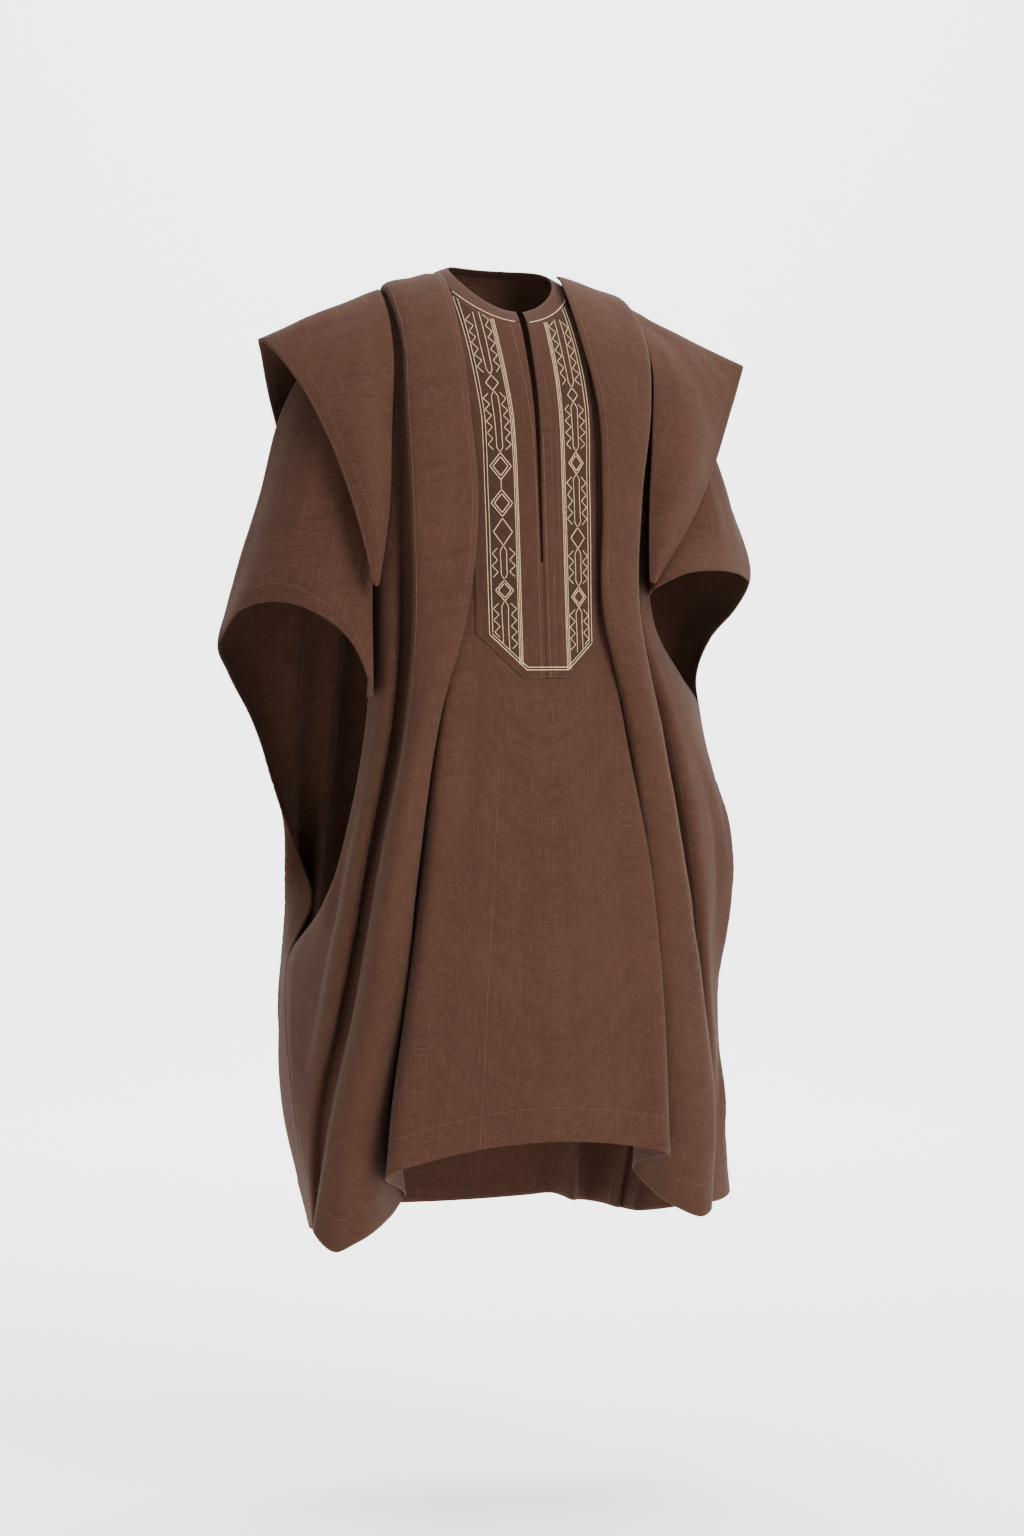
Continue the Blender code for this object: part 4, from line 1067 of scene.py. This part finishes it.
# chest panel with its braid; left and right on it are as seen from the front
chest = {
    "edge": ((-78, -40), (-82, -180), (-82, -300), (-78, -454), (-24, -506),
             (41, -506), (76, -472), (82, -300), (86, -190), (80, -40)),
    "wall": 1.0, "lift": 0.75, "step": 3.2, "rows": 150, "groundWall": 0.3, "groundLift": 0.22,
    "cutFoot": -506,                                    # the height of its lower edge
    "cornerLeft": (-24, 52, 54), "cornerRight": (41, 34, 35),       # where a corner starts, rise, run
    "outerLeft": ((-76, -30), (-71, -108), (-66, -180), (-65, -300), (-65, -451)),
    "innerLeft": ((-36, -56), (-32, -123), (-28, -180), (-26, -250), (-26, -489)),
    "innerRight": ((35, -58), (37, -130), (37, -250), (37, -495)),
    "outerRight": ((69, -41), (74, -130), (75, -170), (73, -245), (72, -345), (70, -462)),
    "foot": ((-65, -451), (-19, -495), (36, -495), (70, -462)),
    "gold": 0.9, "goldHeight": 0.55, "doubleGap": 3.9, "tripleGap": 2.05,
    "pair": 4.0, "zigzag": 15.0, "swing": 3.7, "motif": 0.85,
    "tops": {"outerLeft": -23, "innerLeft": -53, "innerRight": -56, "outerRight": -34},
}


def along(path, z):
    z = np.asarray(z, float)
    return np.interp(-z, [-p[1] for p in path], [p[0] for p in path])


def panelHalf(start, stop):
    # half of the panel between two places across the front, down to its cut foot
    n = int(abs(stop - start) * 20 / chest["step"])
    places = np.linspace(start, stop, n)
    cols = placeToColumn(frontAt, places)
    lastRow = len(topAt) + len(midZ) - 1
    (left, leftRise, leftRun), (right, rightRise, rightRun) = chest["cornerLeft"], chest["cornerRight"]
    grid = []
    for col in cols:
        low, high = 0.0, float(lastRow)
        for halving in range(30):
            mid = (low + high) / 2
            x, y, z = gridAt(front, mid, col)
            foot = (chest["cutFoot"] + max(0, left - x) * leftRise / leftRun
                    + max(0, x - right) * rightRise / rightRun)
            low, high = (mid, high) if z > foot else (low, mid)
        grid.append(gridAt(front, np.linspace(0, low, chest["rows"]), np.full(chest["rows"], col)))
    return np.array(grid).transpose(1, 0, 2)


def placeAtX(x, row):
    return np.interp(x, front[row, slice(*chestSpan), 0], frontAt[slice(*chestSpan)])


chestSpan = (frontColumn("panelEdge", "right"), frontColumn("panelEdge", "left"))
waist = rowOf(-300)
halves = []
for start, stop in ((placeAtX(-82, waist), slitPlace), (slitPlace + 1, placeAtX(83, waist))):
    grid = panelHalf(start, stop)
    normal = -gridNormals(grid)
    grid = shaped(grid, normal, np.full(grid.shape[:2], chest["lift"]))
    points, faces, uv = clothShell(grid, normal, wall=chest["wall"])
    halves.append((points, faces, uv + (grid[chest["rows"] // 2, grid.shape[1] // 2, 0], 0)))
panelShell = joined(halves)
clothPiece("chestPanel", "chest_panel", panelShell,
           (0.172, 0.50), "laid", ["centreFront"], panelCloth)
chestTree = BVHTree.FromPolygons([Vector(p) for p in panelShell[0]], panelShell[1])


def panelHit(x, z):
    # the point and normal of the panel straight behind (x, z)
    return chestTree.ray_cast(Vector((x, -600, z)), Vector((0, 1, 0)))[:2]


def onChest(path, step=2.0):
    # (x, z) points in front of the panel, laid on it
    path = np.asarray(path, float)
    lengths = np.concatenate(([0], np.cumsum(np.linalg.norm(np.diff(path, axis=0), axis=1))))
    at = np.append(np.arange(0, lengths[-1], step), lengths[-1])
    places, normals = [], []
    for x, z in zip(np.interp(at, lengths, path[:, 0]), np.interp(at, lengths, path[:, 1])):
        hit, normal = panelHit(x, z)
        if hit is not None:
            places.append(hit)
            normals.append(normal if normal.y < 0 or normal.z > 0 else -normal)
    return np.array(places, float), np.array(normals, float)


def braid(path, width=None, step=1.2):
    points, normals = onChest(path, step)
    if len(points) > 3:
        kernel = np.ones(5) / 5
        padded = np.concatenate((normals[:1],) * 2 + (normals,) + (normals[-1:],) * 2)
        normals = unit(np.stack([np.convolve(padded[:, k], kernel, "valid") for k in range(3)], -1))
        cordRun("goldBraid", points, normals, width or chest["gold"], chest["goldHeight"])


def shifted(path, amount, top, bottom=None):
    zs = np.linspace(top, path[-1][1] if bottom is None else bottom, 60)
    return np.stack((along(path, zs) + amount, zs), -1)


def groundStrip(leftPath, rightPath, tops, bottoms):
    # the darker ground between the gold borders of one column
    us = np.linspace(0, 1, 12)
    grid, normal = [], []
    for t in np.linspace(0, 1, 130):
        rowPoints, rowNormals = [], []
        for u in us:
            z = (tops[0] * (1 - u) + tops[1] * u) * (1 - t) + (bottoms[0] * (1 - u) + bottoms[1] * u) * t
            x = along(leftPath, z) * (1 - u) + along(rightPath, z) * u
            hit, n = panelHit(x, z)
            rowPoints.append(hit if hit is not None else rowPoints[-1])
            rowNormals.append(n if n is not None else rowNormals[-1])
        grid.append(rowPoints)
        normal.append(rowNormals)
    return np.array(grid, float), unit(np.array(normal, float))


grounds = []
for leftPath, rightPath, tops, bottoms in (
        (chest["outerLeft"], chest["innerLeft"], (-23.5, -53.5), (-450, -488)),
        (chest["innerRight"], chest["outerRight"], (-56, -34.5), (-492, -462))):
    grid, normal = groundStrip(leftPath, rightPath, tops, bottoms)
    grid = shaped(grid, normal, np.full(grid.shape[:2], chest["groundLift"]))
    grounds.append(clothShell(grid, normal, wall=chest["groundWall"]))
points, faces, uv = joined(grounds)
braidGround = makeObject("braidGround", points, faces, columnCloth, uv)
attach(braidGround, "root")

draw = np.random.default_rng(7)
for name, side in (("outerLeft", 1), ("outerRight", -1)):
    path = chest[name]
    for k in (0, 1):
        inset = k * chest["doubleGap"] * side
        braid(shifted(path, inset, chest["tops"][name] - 3 * k, path[-1][1] + 1.5 * k))
for name, side in (("innerLeft", -1), ("innerRight", 1)):
    for k in range(3):
        braid(shifted(chest[name], side * (k - 1) * chest["tripleGap"], chest["tops"][name]), 0.78)
foot = np.array(chest["foot"], float)
braid(foot)
braid(foot + ((3.2, 1.2), (1.2, 3.2), (-1.2, 3.2), (-3.2, 1.2)))

# motifs: height of the middle, half width, half height, nested
motifs = {
    "left": {"path": ("outerLeft", "innerLeft"), "start": -44, "stop": -472, "shift": 1.0,
             "diamonds": ((-136, 8, 10, 0), (-241, 13.5, 17, 1), (-287, 13.5, 17, 1),
                          (-323, 12, 17, 0), (-396, 11.5, 13, 1))},
    "right": {"path": ("innerRight", "outerRight"), "start": -52, "stop": -474, "shift": -0.5,
              "diamonds": ((-150, 7, 9, 0), (-236, 10, 14, 1), (-330, 9.5, 13, 0), (-404, 10, 13, 1))},
}


def aboveFoot(path):
    # the part of a braid path that stays inside the gold outline of the foot
    foot = chest["foot"]
    floor = [np.interp(x, [p[0] for p in foot], [p[1] for p in foot]) + 4 for x, z in path]
    return [p for p, low in zip(path, floor) if p[1] > low]


diamond = ((0, 1), (1, 0), (0, -1), (-1, 0), (0, 1))


def column(spec):
    left, right = (chest[k] for k in spec["path"])

    def middleX(z):
        return (along(left, z) + along(right, z)) / 2 + spec["shift"]

    stops = [spec["start"]]
    for z, w, h, nested in spec["diamonds"]:
        stops += [z + h, z - h]
        for inset in range(nested + 1):
            s = 1 - 0.3 * inset
            braid([(middleX(z) + a * w * s, z + b * h * s) for a, b in diamond], 1.05)
    stops.append(spec["stop"])
    for high, low in zip(stops[::2], stops[1::2]):
        if high - low < 14:
            braid([(middleX(high), high), (middleX(low), low)], 1.0)
            continue
        zs = np.linspace(high, low, 40)
        t = (high - zs) / (high - low)
        opening = np.clip(np.minimum(t, 1 - t) * (high - low) / 7, 0.12, 1)
        if high == spec["start"]:
            opening = np.where(t < 0.5, 1, opening)
        if low == spec["stop"]:
            opening = np.where(t > 0.5, 1, opening)
        for side in (-1, 1):
            sway = 0.35 * np.sin(zs / 13 + side)
            pair = np.stack((middleX(zs) + side * (chest["pair"] * opening) + sway, zs), -1)
            braid(aboveFoot(pair.tolist()), chest["motif"])
            count = max(2, int(round((high - low - 4) / (chest["zigzag"] / 2))))
            ticks = np.linspace(high - 3, low + 3, count + 1)
            reach = 10.9 if spec["path"][0] == "outerLeft" else 9.6
            xs = [middleX(z) + side * (reach + chest["swing"] * (1 if k % 2 else -1) * draw.uniform(0.8, 1.1))
                  for k, z in enumerate(ticks)]
            ticks = ticks + draw.uniform(-0.5, 0.5, len(ticks))
            braid(aboveFoot(list(zip(xs, ticks))), chest["motif"])


for spec in motifs.values():
    column(spec)


def onPanel(path, kind="paleStitches", **sizes):
    points, normals = onChest(path, 1.5)
    if len(points) > 3:
        sew(kind, points, normals, lift=0.0, **sizes)


fineStitch = dict(stitch=2.0, gap=0.9, width=0.6, height=0.3)
onPanel([(-12.5, -62), (-6, -145), (-2, -200), (0, -250), (0, -505)], **fineStitch)
onPanel([(17.5, -62), (21, -150), (22, -180), (21, -360), (20, -505)], kind="seamStitches", **fineStitch)
onPanel([(11.5, -200), (11.5, -350), (12, -505)], **fineStitch)
onPanel([(30, -190), (29.5, -350), (30, -494)], kind="seamStitches", **fineStitch)
inset = []
for x, z in chest["edge"]:
    up = 2.5 if z < -500 else 1.5 if -490 < z < -440 else 0
    inset.append((x + (2.5 if x < 0 else -2.5) * (abs(x) > 50), z + up))
onPanel(inset, kind="seamStitches", **fineStitch)

# gold line along the lower edge of the band, and its fine stitches
keepFront = [k for k in range(len(angles)) if 3 < angles[k] < 64]
keepBack = [k for k in range(len(angles)) if 296 < angles[k] < 357]
outerEdge = ring[-1] + ringNormal[-1] * 0.6
for keep in (keepFront, keepBack):
    cordRun("goldBraid", outerEdge[keep], ringNormal[-1][keep], 1.1, 0.7)
for k in (1, 7):
    sew("seamStitches", ring[k], ringNormal[k], lift=neck["wall"] / 2, **fineStitch)

# topstitching beside the pressed folds, round the hems and down the side seams
sew("seamStitches", *lineAt(front, frontNormal, hems["front"], "bottom"))
sew("seamStitches", *lineAt(back, backNormal, hems["side"], "bottom"))
foldStitches = (
    ("paleStitches", "front", "edge", 7, 4, None), ("seamStitches", "front", "inner", -8, 6, rowOf(-420)),
    ("seamStitches", "front", "second", 6, rowOf(-300), None),
    ("seamStitches", "back", "edge", 7, 4, None), ("seamStitches", "back", "pocket", 3, 4, None),
)
for which, side in (("right", 1), ("left", -1)):
    for kind, half, key, away, start, stop in foldStitches:
        if half == "front":
            line = lineBeside(front, frontNormal, frontColumn(key, which), away * side, start, stop)
        else:
            line = lineBeside(back, backNormal, backColumn(key, which), away * side, start, stop)
        sew(kind, *line, width=0.6)
sew("seamStitches", *lineBeside(front, frontNormal, columnOf(frontAt, 12.6), 0, rowOf(-620)), width=0.6)

finishes = {"goldBraid": (goldThread, "panel"), "seamStitches": (seamThread, "cloth"),
            "paleStitches": (paleThread, "cloth")}
for kind, (points, faces) in threadSets.items():
    thread, slot = finishes[kind]
    piece = makeObject(kind, np.array(points), faces, thread)
    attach(piece, "root")
print("braid and stitching laid:", {k: len(v[1]) for k, v in threadSets.items()})

for piece, flat, held, restsOn in sheets:
    layers = sum(p.area for p in piece.data.polygons) / 2
    print("sheet", piece.name, "area %.3f" % layers, "flat %.3f" % (flat[0] * flat[1]))

# room, light and camera
room = {"floor": -1.553, "white": (0.93, 0.93, 0.92), "shade": (0.75, 0.75, 0.75), "glow": 0.85,
        "key": 190, "fill": 22, "top": 105, "wall": 640, "world": 0.38}
view = {"turn": -17.0, "far": 5.5, "height": -0.423, "tilt": 2.09, "aside": 0.01545, "lens": 100.15}


def roomMesh():
    # a floor that curves up into a wall
    line = [(-9.0, 0.0), (4.0, 0.0)]
    line += [(4.0 + 2.5 * math.sin(a), 2.5 - 2.5 * math.cos(a)) for a in np.linspace(0.1, math.pi / 2, 14)]
    line.append((6.5, 9.0))
    points = [(x, y, z) for y, z in line for x in (-12, 12)]
    faces = [(2 * k, 2 * k + 1, 2 * k + 3, 2 * k + 2) for k in range(len(line) - 1)]
    return points, faces


points, faces = roomMesh()
mesh = bpy.data.meshes.new("studioFloor")
mesh.from_pydata(points, [], faces)
mesh.shade_smooth()
floor = bpy.data.objects.new("studioFloor", mesh)
floor.location = (0, 0, room["floor"])
floor.rotation_euler = (0, 0, math.radians(view["turn"]))
material, tree, shader = nodeTree("studio paper")
grain = noiseNode(tree, tree.nodes.new("ShaderNodeTexCoord").outputs["Object"], 40.0)
paper = mixColour(tree, scaled(tree, grain, 0.04), room["white"], room["shade"])
link(tree, paper, shader.inputs["Base Color"])
settle(shader, {"Roughness": 0.9, "Emission Color": (1, 1, 1, 1), "Emission Strength": room["glow"]})
mesh.materials.append(material)
bpy.context.scene.collection.objects.link(floor)

world = bpy.data.worlds.new("studio air")
world.use_nodes = True
settle(world.node_tree.nodes["Background"], {"Color": (1, 1, 1, 1), "Strength": room["world"]})
bpy.context.scene.world = world


def softLight(name, power, size, place, aim):
    data = bpy.data.lights.new(name, "AREA")
    data.energy = power
    data.shape = "RECTANGLE"
    data.size, data.size_y = size
    lamp = bpy.data.objects.new(name, data)
    lamp.location = place
    lamp.rotation_euler = (Vector(aim) - Vector(place)).to_track_quat("-Z", "Y").to_euler()
    bpy.context.scene.collection.objects.link(lamp)


softLight("key softbox", room["key"], (1.6, 2.2), (1.3, -3.0, 1.1), (0, 0, -0.5))
softLight("fill softbox", room["fill"], (2.4, 2.4), (-3.2, -2.6, 0.3), (0, 0, -0.6))
softLight("top softbox", room["top"], (2.0, 2.0), (0.0, -0.4, 2.4), (0, 0, -0.3))
softLight("wall softbox", room["wall"], (5.0, 2.5), (0.8, 3.0, 3.2), (1.2, 4.9, -1.2))

turn, tilt = math.radians(view["turn"]), math.radians(view["tilt"])
forward = Vector((-math.sin(turn), math.cos(turn), 0))
rightward = Vector((math.cos(turn), math.sin(turn), 0))
camera = bpy.data.objects.new("camera", bpy.data.cameras.new("camera"))
camera.data.lens = view["lens"]
camera.data.sensor_width = 36.0
camera.location = -forward * view["far"] + rightward * view["aside"] + Vector((0, 0, view["height"]))
look = forward * math.cos(tilt) - Vector((0, 0, math.sin(tilt)))
camera.rotation_euler = look.to_track_quat("-Z", "Y").to_euler()
bpy.context.scene.collection.objects.link(camera)
bpy.context.scene.camera = camera
print("room lit")
